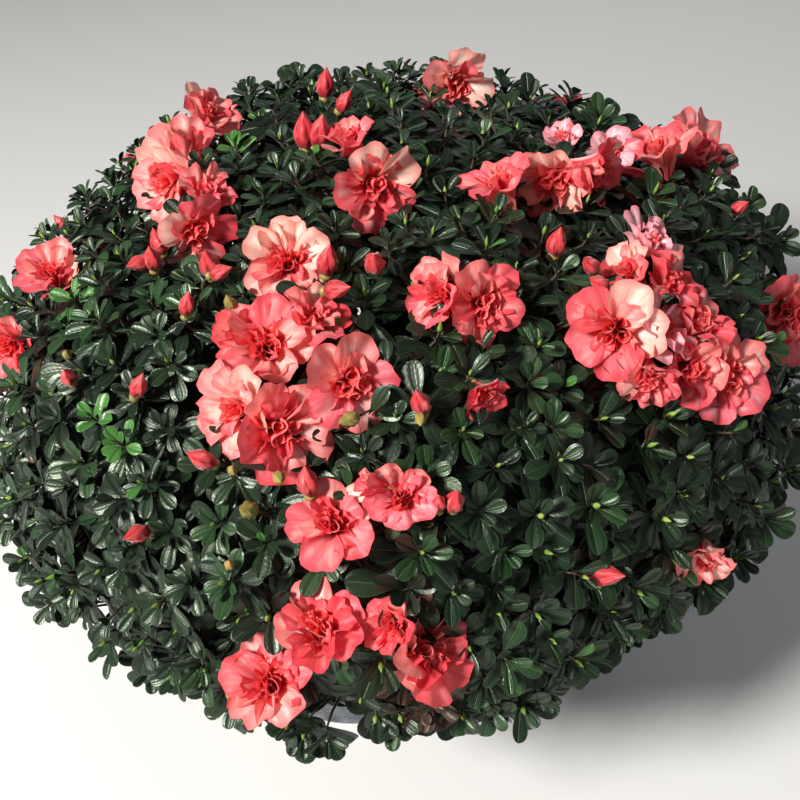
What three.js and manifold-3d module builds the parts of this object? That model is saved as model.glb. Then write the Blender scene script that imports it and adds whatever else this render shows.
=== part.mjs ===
// Azalea shrub in a nursery pot: a low, dense mound of small dark leaves with double blooms.
// Millimetres, +Z up. The origin is the middle of the pot's flat underside, the front faces -Y.
// Angles round the plant are in degrees, anticlockwise from +X seen from above, so the front is -90.
import * as THREE from 'three';
import { mergeVertices } from 'three/addons/utils/BufferGeometryUtils.js';
import Module from 'manifold-3d';

const wasm = await Module();
wasm.setup();

// The pot and what fills it
const POT_HEIGHT = 240;
const POT_BASE_RADIUS = 124;
const POT_RIM_RADIUS = 158;
const POT_WALL = 2.5;
const POT_FLOOR = 4;
const LIP_DEPTH = 20;
const LIP_STANDS_OUT = 5;
const LIP_ROUNDING = 1.5;
const FOOT_STEP = 8;
const FOOT_STANDS_OUT = 1;
const POT_SIDES = 40;
const SOIL_BELOW_RIM = 24;
const SOIL_EDGE_DROP = 8;
const SOIL_BROW_DROP = 2;
const SOIL_BROW_SHARE = 0.7;
const CLEARANCE = 0.3;

// The crown: its widest level, its reach from there and how square its shoulders are
const CROWN_MIDDLE = new THREE.Vector3(65, 0, 360);
const CROWN_RISE = 236;
const SKIRT_DROP = 136;
const CROWN_REACH = [354, 344, 340, 352, 366, 358, 346, 348, 336, 332, 314, 336];
const SHOULDER_POWER = 2.4;
const SKIRT_TUCK = 0.74;

// The limbs
const STEM_TOP = new THREE.Vector3(34, 0, 312);
const STEM_FOOT_RADIUS = 25;
const STEM_RADIUS = 15;
const STEM_TOP_RADIUS = 11;
const STEM_BENDS_AT = 0.55;
const STEM_UPRIGHT_TO = 4;
const FLARE_FADES = 7;
const FOOT_CUT = 0.35;
const LIMB_SIDES = 6;
const WHORLS = [0.26, 0.5, 0.74];
const HIGH_ABOVE = 50;
const BOUGH_RADIUS = 5.6;
const BOUGH_TIP_RADIUS = 3.6;
const BOUGH_RISE = 0.3;
const BOUGH_BENDS_AT = 0.5;
const MASS_STEM = 52;
const MASS_HEART = 0.6;

// Leaves, twigs and blooms
const SHOOTS = 152;
const LEAVES_PER_SHOOT = 6;
const LEAF_LENGTH = 52;
const LEAF_LENGTH_UNEVEN = 0.28;
const LEAF_WIDTH = 25;
const LEAF_THICKNESS = 2.4;
const LEAF_SPREAD = 62;
const LEAF_WIDEST_AT = 0.6;
const LEAF_SPREAD_UNEVEN = 20;
const LEAF_TURN_UNEVEN = 0.2;
const LEAF_CUPPED = 1.6;
const HUB_CLEAR = 8;
const HUB_RADIUS = 5;
const HUB_RISE = 2;
const HUB_DEPTH = 4;
const SHOOT_BELOW_SKIN = 22;
const SHOOT_UNEVEN = 12;
const TWIG_RADIUS = 4.4;
const TWIG_TIP_RADIUS = 3;
const BRANCHES_PER_MASS = 5;
const BRANCH_RADIUS = 4.6;
const CORE_SHARE = 0.8;
const CORE_INNER_SHARE = 0.4;
const SPACE_GAP = 1.2;
const CORE_GAP = 4;
const LIMB_ROOM = 1.5;
const BLOOM_WIDTH = 60;
const BLOOM_WIDTH_UNEVEN = 0.16;
const BLOOM_DEPTH = 0.7;
const BUD_LENGTH = 24;
const BUD_RADIUS = 7;
const BUD_ABOVE = 0.6;
const FLOWERS_TURN_UP = 0.8;
const SHOOTS_TURN_UP = 0.35;
const FLOWER_ROOM = 22;
const FLOWER_STEP = 2;
const POT_ROOM = 7;
const SHORTER_TRY = 0.7;
const BRANCH_SHARE = 0.5;
const GOLDEN_ANGLE = 137.508;
const SEED = 19;
const FUSING_TOLERANCE = 0.05;

// The masses of foliage: name, direction round the plant, and angle down from the top
const MASSES = [
  ['foliage_top', -60, 8],
  ['foliage_left_shoulder', 172, 34],
  ['foliage_front_shoulder', -112, 38],
  ['foliage_right_shoulder', -6, 34],
  ['foliage_back_shoulder', 82, 36],
  ['foliage_front_right', -43, 58],
  ['foliage_right', 0, 78],
  ['foliage_back_right', 45, 76],
  ['foliage_back', 92, 78],
  ['foliage_back_left', 138, 76],
  ['foliage_left', -176, 76],
  ['foliage_front_left', -136, 74],
  ['foliage_front', -92, 74],
];

// The front view in which the blooms' places were read: an 800 by 800 frame, seen from above the front
const VIEW_FOCAL = 1050;
const VIEW_TILT = 41;
const VIEW_ROLL = 5;
const VIEW_DISTANCE = 960;
const VIEW_FRAME = 800;
const VIEW_OF_MIDDLE = [395, 381];

// Blooms by where they show in the front view: across and down
const SEEN_BLOOMS = [
  [158, 180], [192, 145], [215, 112], [218, 185], [198, 226],
  [376, 188], [285, 255], [265, 338], [350, 385], [218, 402], [275, 432],
  [330, 520], [402, 495], [320, 630], [267, 687], [435, 650],
  [478, 298], [430, 268], [455, 82], [497, 182], [555, 180], [598, 185],
  [612, 148], [655, 150], [695, 158], [650, 242], [622, 262], [675, 278],
  [620, 335], [668, 318], [700, 385], [740, 370], [652, 388], [786, 305],
  [45, 265], [14, 345], [700, 566],
];

// Blooms on the sides that the front view hides: direction round the plant, and angle down
const HIDDEN_BLOOMS = [
  [30, 62], [38, 74], [52, 40], [60, 66], [78, 58], [84, 70], [93, 62], [104, 82],
  [118, 52], [126, 62], [132, 48], [146, 80], [158, 66], [165, 74], [20, 84], [-14, 88],
  [176, 84], [-160, 88],
];

// Buds, in the same two ways
const SEEN_BUDS = [
  [306, 135], [325, 88], [142, 266], [376, 266], [338, 292], [421, 405], [205, 460],
  [140, 532], [73, 378], [142, 388], [600, 572], [555, 246], [452, 500],
];
const HIDDEN_BUDS = [[24, 52], [70, 76], [110, 68], [154, 52], [-150, 84]];

const UP = new THREE.Vector3(0, 0, 1);
const radians = THREE.MathUtils.degToRad;

function materialOf(colour, roughness) {
  return new THREE.MeshStandardMaterial({ color: colour, roughness, metalness: 0 });
}

// Numbers from 0 to 1 that follow from a seed
function seeded(seed) {
  const MODULUS = 2147483647;
  const MULTIPLIER = 16807;
  let state = seed;
  return () => {
    state = (state * MULTIPLIER) % MODULUS;
    return state / MODULUS;
  };
}

// How far the crown reaches at its widest level, in a direction round the plant
function reachAt(angle) {
  const step = 360 / CROWN_REACH.length;
  const place = THREE.MathUtils.euclideanModulo(angle, 360) / step;
  const index = Math.floor(place) % CROWN_REACH.length;
  const blend = (1 - Math.cos(Math.PI * (place - Math.floor(place)))) / 2;
  return THREE.MathUtils.lerp(CROWN_REACH[index], CROWN_REACH[(index + 1) % CROWN_REACH.length], blend);
}

// A point of the crown, by direction, angle down from the top and share of the way out to the skin
function crownPoint(angle, down, share = 1) {
  const out = Math.pow(Math.abs(Math.sin(radians(down))), 2 / SHOULDER_POWER) * reachAt(angle);
  const rise = Math.pow(Math.abs(Math.cos(radians(down))), 2 / SHOULDER_POWER);
  const height = down <= 90 ? rise * CROWN_RISE : -rise * SKIRT_DROP;
  return new THREE.Vector3(out * Math.cos(radians(angle)), out * Math.sin(radians(angle)), height)
    .multiplyScalar(share)
    .add(CROWN_MIDDLE);
}

// How far out in the crown a point is: 0 at its middle, 1 on its skin
function shareOf(point) {
  const from = point.clone().sub(CROWN_MIDDLE);
  const angle = THREE.MathUtils.radToDeg(Math.atan2(from.y, from.x));
  const across = Math.hypot(from.x, from.y) / reachAt(angle);
  const height = Math.abs(from.z) / (from.z > 0 ? CROWN_RISE : SKIRT_DROP);
  return Math.pow(across ** SHOULDER_POWER + height ** SHOULDER_POWER, 1 / SHOULDER_POWER);
}

// The crown's outward direction at a point of its skin
function outwardAt(point) {
  const step = 2;
  const slope = (axis) => {
    const before = point.clone().addScaledVector(axis, -step);
    const after = point.clone().addScaledVector(axis, step);
    return shareOf(after) - shareOf(before);
  };
  const axes = [new THREE.Vector3(1, 0, 0), new THREE.Vector3(0, 1, 0), UP];
  return new THREE.Vector3(...axes.map(slope)).normalize();
}

// The point of the skin that shows at a place in the front view
function seenOnCrown([across, down]) {
  const tilt = radians(VIEW_TILT);
  const roll = radians(VIEW_ROLL);
  const ahead = new THREE.Vector3(0, Math.cos(tilt), -Math.sin(tilt));
  const above = new THREE.Vector3(0, Math.sin(tilt), Math.cos(tilt));
  const lineTo = (x, y) => {
    const [u, v] = [x - VIEW_FRAME / 2, y - VIEW_FRAME / 2];
    const side = (Math.cos(roll) * u - Math.sin(roll) * v) / VIEW_FOCAL;
    const drop = (Math.sin(roll) * u + Math.cos(roll) * v) / VIEW_FOCAL;
    return ahead.clone().addScaledVector(above, -drop).add(new THREE.Vector3(side, 0, 0));
  };
  const eye = CROWN_MIDDLE.clone().addScaledVector(lineTo(...VIEW_OF_MIDDLE), -VIEW_DISTANCE);
  const line = lineTo(across, down);
  let nearest = eye.clone();
  const STEP = 2;
  // The crown lies well inside this stretch of the line of sight
  for (let way = VIEW_DISTANCE / 2; way < VIEW_DISTANCE * 1.5; way += STEP) {
    const point = eye.clone().addScaledVector(line, way);
    if (shareOf(point) < shareOf(nearest)) {
      nearest = point;
    }
    if (shareOf(point) <= 1) {
      return point;
    }
  }
  return nearest;
}

// Fusing and cutting closed shapes
function solidOf(geometry) {
  const bare = geometry.index ? geometry.toNonIndexed() : geometry.clone();
  bare.deleteAttribute('normal');
  bare.deleteAttribute('uv');
  const merged = mergeVertices(bare, 1e-4);
  return new wasm.Manifold(new wasm.Mesh({
    numProp: 3,
    vertProperties: new Float32Array(merged.attributes.position.array),
    triVerts: new Uint32Array(merged.index.array),
  }));
}

function geometryOf(solid) {
  const mesh = solid.getMesh();
  const geometry = new THREE.BufferGeometry();
  geometry.setAttribute('position', new THREE.BufferAttribute(mesh.vertProperties, 3));
  geometry.setIndex(new THREE.BufferAttribute(mesh.triVerts, 1));
  geometry.computeVertexNormals();
  return geometry;
}

// The largest piece of a fused shape: loose scraps are dropped and sealed hollows are filled
function wholeOf(solid) {
  const pieces = solid.simplify(FUSING_TOLERANCE).decompose();
  return pieces.reduce((best, piece) => (piece.volume() > best.volume() ? piece : best));
}

// A tapering limb along a curve, with flat ends
function limbGeometry(curve, radiusAt, sides, steps) {
  const geometry = new THREE.CylinderGeometry(1, 1, 1, sides, steps);
  const frames = curve.computeFrenetFrames(steps, false);
  const places = geometry.attributes.position;
  for (let i = 0; i < places.count; i += 1) {
    const step = Math.round((places.getY(i) + 0.5) * steps);
    const radius = radiusAt(step / steps);
    const point = curve.getPointAt(step / steps);
    point.addScaledVector(frames.normals[step], places.getZ(i) * radius);
    point.addScaledVector(frames.binormals[step], places.getX(i) * radius);
    places.setXYZ(i, point.x, point.y, point.z);
  }
  return geometry;
}

function twigGeometry(from, to, fromRadius, toRadius) {
  const radiusAt = (share) => THREE.MathUtils.lerp(fromRadius, toRadius, share);
  return limbGeometry(new THREE.LineCurve3(from, to), radiusAt, 3, 1);
}

// The room that one leaf of a shoot takes
function leafGeometry({ point, axis }, { direction, length }) {
  const geometry = new THREE.OctahedronGeometry(1);
  const side = new THREE.Vector3().crossVectors(axis, direction).normalize();
  const face = new THREE.Vector3().crossVectors(direction, side);
  const places = geometry.attributes.position;
  for (let i = 0; i < places.count; i += 1) {
    const along = places.getZ(i) === 0 ? LEAF_WIDEST_AT : (places.getZ(i) + 1) / 2;
    const corner = point.clone().addScaledVector(direction, HUB_CLEAR + along * (length - HUB_CLEAR));
    corner.addScaledVector(side, places.getX(i) * LEAF_WIDTH * 0.5);
    corner.addScaledVector(face, places.getY(i) * LEAF_THICKNESS * 0.5);
    places.setXYZ(i, corner.x, corner.y, corner.z);
  }
  return geometry;
}

// A head on its own three-sided twig, in one closed shape. `rim` runs anticlockwise round the axis and gives
// each point with its turn in degrees. `cover` gives the triangles of the upper side.
function headGeometry({ root, point, axis, across, neckDepth, rim, cover }) {
  const along = point.clone().sub(root).normalize();
  const neck = [];
  const foot = [];
  for (const turn of [0, 120, 240]) {
    const out = across.clone().applyAxisAngle(axis, radians(turn));
    neck.push(point.clone().addScaledVector(axis, -neckDepth).addScaledVector(out, TWIG_TIP_RADIUS));
    foot.push(root.clone().addScaledVector(out.projectOnPlane(along).normalize(), TWIG_RADIUS));
  }
  const under = rim.flatMap((from, i) => {
    const to = rim[(i + 1) % rim.length];
    const after = rim[(i + 2) % rim.length];
    const here = nearestThird(from.turn, to.turn);
    const next = nearestThird(to.turn, after.turn);
    const side = [neck[here], to.point, from.point];
    return here === next ? side : [...side, neck[here], neck[next], to.point];
  });
  const twig = neck.flatMap((top, i) => {
    const next = (i + 1) % neck.length;
    return [neck[next], top, foot[i], neck[next], foot[i], foot[next]];
  });
  return new THREE.BufferGeometry().setFromPoints([...cover, ...under, ...twig, foot[0], foot[2], foot[1]]);
}

// Which third of the way round the middle between two turns is nearest to
function nearestThird(from, to) {
  const way = THREE.MathUtils.euclideanModulo(to - from, 360);
  return Math.round(THREE.MathUtils.euclideanModulo(from + way / 2, 360) / 120) % 3;
}

const fanOver = (top, rim) => rim.flatMap((from, i) => [top, from.point, rim[(i + 1) % rim.length].point]);

// One shoot's leaves round the tip of its twig, each of four faces above and four below. `leaves` holds one
// entry for each place round the tip: its turn, direction and length, or null where none grows.
function rosetteGeometry({ root, point, axis, across }, leaves) {
  const rim = leaves.flatMap((leaf, place) => {
    const notchTurn = (place - 0.5) * (360 / leaves.length);
    const out = across.clone().applyAxisAngle(axis, radians(notchTurn));
    const notch = { turn: notchTurn, point: point.clone().addScaledVector(out, HUB_RADIUS) };
    if (!leaf) return [notch];
    const side = new THREE.Vector3().crossVectors(axis, leaf.direction).normalize();
    const face = new THREE.Vector3().crossVectors(leaf.direction, side);
    const widest = point.clone()
      .addScaledVector(leaf.direction, leaf.length * LEAF_WIDEST_AT)
      .addScaledVector(face, LEAF_CUPPED);
    const half = LEAF_WIDTH / 2;
    return [
      notch,
      { turn: leaf.turn - 1, point: widest.clone().addScaledVector(side, -half) },
      { turn: leaf.turn, point: point.clone().addScaledVector(leaf.direction, leaf.length) },
      { turn: leaf.turn + 1, point: widest.clone().addScaledVector(side, half) },
    ];
  });
  const top = point.clone().addScaledVector(axis, HUB_RISE);
  return headGeometry({ root, point, axis, across, neckDepth: HUB_DEPTH, rim, cover: fanOver(top, rim) });
}

// One double bloom: a waved rim of five petals round a raised ring
function bloomGeometry({ root, point, axis, across }, width) {
  const PETALS = 5;
  const NOTCH_IN = 0.78;
  const NOTCH_DOWN = 0.12;
  const RING_WIDE = 0.42;
  const RING_UP = 0.1;
  const HEART_DOWN = 0.15;
  const radius = width / 2;
  const at = (turn, out, up) => ({
    turn,
    point: point.clone()
      .addScaledVector(across.clone().applyAxisAngle(axis, radians(turn)), out * radius)
      .addScaledVector(axis, up * radius),
  });
  const turns = Array.from({ length: PETALS }, (_, petal) => (petal * 360) / PETALS);
  const half = 180 / PETALS;
  const rim = turns.flatMap((turn) => [at(turn - half, NOTCH_IN, -NOTCH_DOWN), at(turn, 1, 0)]);
  const ring = turns.map((turn) => at(turn, RING_WIDE, RING_UP));
  const heart = point.clone().addScaledVector(axis, -HEART_DOWN * radius);
  const cover = turns.flatMap((_, petal) => {
    const [notch, tip] = [rim[petal * 2].point, rim[petal * 2 + 1].point];
    const nextNotch = rim[(petal * 2 + 2) % rim.length].point;
    const [inner, nextInner] = [ring[petal].point, ring[(petal + 1) % PETALS].point];
    return [inner, notch, tip, inner, tip, nextNotch, inner, nextNotch, nextInner, heart, inner, nextInner];
  });
  return headGeometry({ root, point, axis, across, neckDepth: radius * BLOOM_DEPTH, rim, cover });
}

// One pointed bud
function budGeometry({ root, point, axis, across }) {
  const rim = [0, 90, 180, 270].map((turn) => ({
    turn,
    point: point.clone().addScaledVector(across.clone().applyAxisAngle(axis, radians(turn)), BUD_RADIUS),
  }));
  const top = point.clone().addScaledVector(axis, BUD_LENGTH * BUD_ABOVE);
  const neckDepth = BUD_LENGTH * (1 - BUD_ABOVE);
  return headGeometry({ root, point, axis, across, neckDepth, rim, cover: fanOver(top, rim) });
}

// The pot's outer radius at a height, without its lip
function potRadiusAt(height) {
  return THREE.MathUtils.lerp(POT_BASE_RADIUS, POT_RIM_RADIUS, height / POT_HEIGHT);
}

// The pot: a tapering tub with a turned-out lip, open at the top
function potGeometry() {
  const lip = POT_HEIGHT - LIP_DEPTH;
  const lipRadius = potRadiusAt(POT_HEIGHT) + LIP_STANDS_OUT;
  const profile = [
    [0, 0],
    [POT_BASE_RADIUS, 0],
    [potRadiusAt(FOOT_STEP) + FOOT_STANDS_OUT, FOOT_STEP],
    [potRadiusAt(FOOT_STEP) - FOOT_STANDS_OUT, FOOT_STEP + FOOT_STANDS_OUT * 2],
    [potRadiusAt(lip), lip],
    [potRadiusAt(lip) + LIP_STANDS_OUT, lip + LIP_ROUNDING],
    [lipRadius, POT_HEIGHT - LIP_ROUNDING],
    [lipRadius - LIP_ROUNDING, POT_HEIGHT],
    [POT_RIM_RADIUS - POT_WALL, POT_HEIGHT],
    [potRadiusAt(POT_FLOOR) - POT_WALL, POT_FLOOR],
    [0, POT_FLOOR],
  ];
  const geometry = new THREE.LatheGeometry(profile.map(([r, z]) => new THREE.Vector2(r, z)), POT_SIDES);
  return geometry.rotateX(Math.PI / 2);
}

// The potting mix: fills the pot to below its lip, a little domed round the stem
const SOIL_LEVEL = POT_HEIGHT - SOIL_BELOW_RIM;
function soilGeometry() {
  const innerAt = (height) => potRadiusAt(height) - POT_WALL - CLEARANCE * 2;
  const bottom = POT_FLOOR + CLEARANCE;
  const edge = SOIL_LEVEL - SOIL_EDGE_DROP;
  const profile = [
    [0, bottom],
    [innerAt(bottom), bottom],
    [innerAt(edge), edge],
    [innerAt(edge) * SOIL_BROW_SHARE, SOIL_LEVEL - SOIL_BROW_DROP],
    [STEM_FOOT_RADIUS * 2, SOIL_LEVEL],
    [0, SOIL_LEVEL],
  ];
  const geometry = new THREE.LatheGeometry(profile.map(([r, z]) => new THREE.Vector2(r, z)), POT_SIDES);
  return geometry.rotateX(Math.PI / 2);
}

// The main stem: from a flat cut on the soil, flaring at its foot, leaning towards the crown's middle
const STEM_FOOT = new THREE.Vector3(0, 0, SOIL_LEVEL + CLEARANCE);
const STEM_CURVE = new THREE.QuadraticBezierCurve3(
  STEM_FOOT,
  new THREE.Vector3(STEM_UPRIGHT_TO, 0, THREE.MathUtils.lerp(STEM_FOOT.z, STEM_TOP.z, STEM_BENDS_AT)),
  STEM_TOP,
);
function stemRadiusAt(share) {
  const flare = (STEM_FOOT_RADIUS - STEM_RADIUS) * Math.exp(-share * FLARE_FADES);
  return flare + THREE.MathUtils.lerp(STEM_RADIUS, STEM_TOP_RADIUS, share);
}
function stemGeometry(grow = 0) {
  const geometry = limbGeometry(STEM_CURVE, (share) => stemRadiusAt(share) + grow, LIMB_SIDES + 2, 6);
  const places = geometry.attributes.position;
  for (let i = 0; i < places.count; i += 1) {
    const isFoot = places.getZ(i) < STEM_FOOT.z + STEM_FOOT_RADIUS * FOOT_CUT;
    if (isFoot) {
      places.setZ(i, STEM_FOOT.z);
    }
  }
  return geometry;
}

// Where each mass has its heart, and the bough that carries it
const masses = MASSES.map(([name, angle, down]) => (
  { name, down, heart: crownPoint(angle, down, MASS_HEART) }
));

// The top bough goes on from the stem, high ones leave near its top, and low ones at two levels in turn.
// Each rises into its mass and ends short of the heart, where the mass's own stem takes over.
function boughCurve(mass) {
  const isTop = mass === masses[0];
  const whorl = mass.down < HIGH_ABOVE ? 2 : masses.indexOf(mass) % 2;
  const start = isTop ? STEM_TOP.clone().addScaledVector(UP, CLEARANCE) : STEM_CURVE.getPoint(WHORLS[whorl]);
  const arrival = mass.heart.clone().sub(start).normalize().addScaledVector(UP, BOUGH_RISE).normalize();
  const end = mass.heart.clone().addScaledVector(arrival, -MASS_STEM);
  const bend = end.clone().addScaledVector(arrival, -start.distanceTo(end) * BOUGH_BENDS_AT);
  return new THREE.QuadraticBezierCurve3(start, bend, end);
}
function boughGeometry(mass, grow = 0) {
  const radiusAt = (share) => THREE.MathUtils.lerp(BOUGH_RADIUS, BOUGH_TIP_RADIUS, share) + grow;
  return limbGeometry(boughCurve(mass), radiusAt, LIMB_SIDES, 4);
}

// Each mass keeps to the part of the crown that is nearer to its heart than to any other
function ownSpace(mass, point, gap = SPACE_GAP) {
  return masses.every((other) => {
    if (other === mass) return true;
    const towards = other.heart.clone().sub(mass.heart);
    const middle = mass.heart.clone().add(other.heart).multiplyScalar(0.5);
    return point.clone().sub(middle).dot(towards.normalize()) < -gap / 2;
  });
}

const nearPot = (point) => (
  point.z < POT_HEIGHT + POT_ROOM && Math.hypot(point.x, point.y) < POT_RIM_RADIUS + LIP_STANDS_OUT + POT_ROOM
);

const massAt = (point) => masses.find((mass) => ownSpace(mass, point, 0)) ?? masses[0];

// The core of a mass: it bulges from the heart to just inside the mass's space
function coreGeometry(mass) {
  const BULGE_STEPS = 14;
  const FURTHEST = 200;
  const ball = new THREE.IcosahedronGeometry(1, 1);
  const geometry = mergeVertices(ball.deleteAttribute('uv').deleteAttribute('normal'));
  const places = geometry.attributes.position;
  const fits = (point) => {
    const share = shareOf(point);
    const inShell = share < CORE_SHARE && share > CORE_INNER_SHARE;
    return inShell && point.z > POT_HEIGHT + POT_ROOM && ownSpace(mass, point, CORE_GAP);
  };
  for (let i = 0; i < places.count; i += 1) {
    const direction = new THREE.Vector3().fromBufferAttribute(places, i).normalize();
    let [inside, outside] = [0, FURTHEST];
    for (let step = 0; step < BULGE_STEPS; step += 1) {
      const middle = (inside + outside) / 2;
      if (fits(mass.heart.clone().addScaledVector(direction, middle))) {
        inside = middle;
      } else {
        outside = middle;
      }
    }
    const point = mass.heart.clone().addScaledVector(direction, inside);
    places.setXYZ(i, point.x, point.y, point.z);
  }
  return geometry;
}

// Angles down from the top that share the skin's area evenly
function evenLevels(count) {
  const SLICES = 400;
  const tucked = 180 - THREE.MathUtils.radToDeg(Math.asin(Math.pow(SKIRT_TUCK, SHOULDER_POWER / 2)));
  const area = [0];
  for (let slice = 1; slice <= SLICES; slice += 1) {
    const upper = crownPoint(0, (tucked * (slice - 1)) / SLICES);
    const lower = crownPoint(0, (tucked * slice) / SLICES);
    const radius = (upper.x + lower.x) / 2 - CROWN_MIDDLE.x;
    area.push(area[slice - 1] + radius * upper.distanceTo(lower));
  }
  return Array.from({ length: count }, (_, i) => {
    const wanted = (area[SLICES] * (i + 0.5)) / count;
    const slice = area.findIndex((sum) => sum >= wanted);
    const part = (wanted - area[slice - 1]) / (area[slice] - area[slice - 1]);
    return (tucked * (slice - 1 + part)) / SLICES;
  });
}

const limbRoom = wasm.Manifold.union(masses.map((mass) => solidOf(boughGeometry(mass, LIMB_ROOM))));

// Shoots and flowers: each has its mass, the point its twig reaches and the axis it opens along
function growingAt(point, turnUp, turn) {
  const outward = outwardAt(point);
  const axis = outward.clone().addScaledVector(UP, turnUp).normalize();
  const across = new THREE.Vector3().crossVectors(axis, UP).normalize().applyAxisAngle(axis, radians(turn));
  return { point, mass: massAt(point), axis, across };
}
const uneven = seeded(SEED);
const onHiddenSide = (places) => places.map(([angle, down]) => crownPoint(angle, down));
const flowers = [
  ...[...SEEN_BLOOMS.map(seenOnCrown), ...onHiddenSide(HIDDEN_BLOOMS)].map((point) => (
    { isBloom: true, ...growingAt(point, FLOWERS_TURN_UP, uneven() * 360) }
  )),
  ...[...SEEN_BUDS.map(seenOnCrown), ...onHiddenSide(HIDDEN_BUDS)].map((point) => (
    { isBloom: false, ...growingAt(point, FLOWERS_TURN_UP, uneven() * 360) }
  )),
];

// Shoots lie evenly over the skin by the golden angle, unevenly deep, and none is under a flower
const shoots = evenLevels(SHOOTS).map((down, i) => {
  const skin = crownPoint(i * GOLDEN_ANGLE, down);
  const below = SHOOT_BELOW_SKIN + uneven() * SHOOT_UNEVEN;
  return growingAt(skin.addScaledVector(outwardAt(skin), -below), SHOOTS_TURN_UP, uneven() * 360);
}).filter(({ point }) => flowers.every((flower) => flower.point.distanceTo(point) > FLOWER_ROOM));

// Each mass branches from its heart, and every twig leaves the nearest branch
masses.forEach((mass) => {
  const own = shoots.filter((shoot) => shoot.mass === mass);
  const every = Math.max(1, Math.floor(own.length / BRANCHES_PER_MASS));
  mass.branchEnds = own
    .filter((_, i) => i % every === 0)
    .map((shoot) => mass.heart.clone().lerp(shoot.point, BRANCH_SHARE));
});
[...flowers, ...shoots].forEach((one) => {
  const nearer = (best, end) => (end.distanceTo(one.point) < best.distanceTo(one.point) ? end : best);
  one.root = one.mass.branchEnds.reduce(nearer, one.mass.heart);
});

// What is already filled, so that no two leaves cross and none cuts a flower
function boxed(solid) {
  const { min, max } = solid.boundingBox();
  return { solid, box: new THREE.Box3(new THREE.Vector3(...min), new THREE.Vector3(...max)) };
}
const crosses = (one, other) => (
  other.box.intersectsBox(one.box) && !other.solid.intersect(one.solid).isEmpty()
);

// A flower that would cut one of a neighbouring mass is moved aside until it is clear
flowers.forEach((flower, i) => {
  const width = BLOOM_WIDTH * (1 + (uneven() - 0.5) * BLOOM_WIDTH_UNEVEN);
  const shape = () => boxed(solidOf(flower.isBloom ? bloomGeometry(flower, width) : budGeometry(flower)));
  const neighbours = flowers.slice(0, i).filter((other) => other.mass !== flower.mass);
  const crossed = () => neighbours.find((other) => crosses(flower, other));
  Object.assign(flower, shape());
  while (crossed()) {
    flower.point.add(flower.point.clone().sub(crossed().point).setLength(FLOWER_STEP));
    Object.assign(flower, shape());
  }
});
const filled = [...flowers];

// Twigs and leaves stay in their mass's space, above the pot and clear of the limbs
function allowed(mass, geometry) {
  const places = geometry.attributes.position;
  for (let i = 0; i < places.count; i += 1) {
    const point = new THREE.Vector3().fromBufferAttribute(places, i);
    if (nearPot(point) || !ownSpace(mass, point)) return false;
  }
  return solidOf(geometry).intersect(limbRoom).isEmpty();
}

// The leaves of one shoot. One that would leave the mass's space or cross another is tried shorter,
// or left out.
function leavesOf(shoot) {
  return Array.from({ length: LEAVES_PER_SHOOT }, (_, place) => {
    const turn = (place + (uneven() - 0.5) * LEAF_TURN_UNEVEN) * (360 / LEAVES_PER_SHOOT);
    const out = shoot.across.clone().applyAxisAngle(shoot.axis, radians(turn));
    const spread = radians(LEAF_SPREAD + (uneven() - 0.5) * LEAF_SPREAD_UNEVEN);
    const direction = out.multiplyScalar(Math.sin(spread)).addScaledVector(shoot.axis, Math.cos(spread));
    const whole = LEAF_LENGTH * (1 + (uneven() - 0.5) * LEAF_LENGTH_UNEVEN);
    const tries = [whole, whole * SHORTER_TRY].map((length) => ({ turn, direction, length }));
    const fitting = tries.find((leaf) => {
      const blade = leafGeometry(shoot, leaf);
      const room = boxed(solidOf(blade));
      if (!allowed(shoot.mass, blade) || filled.some((other) => crosses(room, other))) return false;
      filled.push(room);
      return true;
    });
    return fitting ?? null;
  });
}

// Grows one mass: its core and stem, then its branches, and the leaves and flowers on their twigs
function growMass(mass) {
  const bough = boughCurve(mass);
  const stemStart = bough.getPoint(1).addScaledVector(bough.getTangent(1), CLEARANCE);
  const stemLine = new THREE.LineCurve3(stemStart, mass.heart);
  const stem = limbGeometry(stemLine, () => BOUGH_TIP_RADIUS, LIMB_SIDES, 1);
  const branches = mass.branchEnds.map((end) => twigGeometry(mass.heart, end, BRANCH_RADIUS, BRANCH_RADIUS));
  const leafy = shoots
    .filter((shoot) => shoot.mass === mass)
    .filter(({ root, point }) => allowed(mass, twigGeometry(root, point, TWIG_RADIUS, TWIG_TIP_RADIUS)))
    .map((shoot) => rosetteGeometry(shoot, leavesOf(shoot)));
  return wholeOf(wasm.Manifold.union([
    solidOf(coreGeometry(mass)).subtract(limbRoom),
    ...[stem, ...branches, ...leafy].map(solidOf),
    ...flowers.filter((flower) => flower.mass === mass).map(({ solid }) => solid),
  ]));
}

const plastic = materialOf(0x2c3034, 0.62);
const earth = materialOf(0x2b211a, 0.96);
const bark = materialOf(0x4c3a2c, 0.85);
const foliage = materialOf(0x1f3a24, 0.5);

const shrub = new THREE.Group();
function addPiece(name, geometry, material) {
  const mesh = new THREE.Mesh(geometry, material);
  mesh.name = name;
  shrub.add(mesh);
}

addPiece('pot', potGeometry(), plastic);
addPiece('soil', soilGeometry(), earth);
addPiece('main_stem', stemGeometry(), bark);
const stemRoom = solidOf(stemGeometry(CLEARANCE));
masses.forEach((mass) => {
  const bough = wholeOf(solidOf(boughGeometry(mass)).subtract(stemRoom));
  addPiece(mass.name.replace('foliage', 'bough'), geometryOf(bough), bark);
});
masses.forEach((mass) => addPiece(mass.name, geometryOf(growMass(mass)), foliage));

export default shrub;
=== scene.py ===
"""Potted azalea shrub: the look of the part, built on its CAD frame. Metres, +Z up, the front faces -Y.

Angles round the plant are in degrees, anticlockwise from +X seen from above, so the front is -90.
"""

import math
from functools import cache

import bpy
import numpy as np
from mathutils import Matrix, Vector
from numpy.linalg import norm


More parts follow.
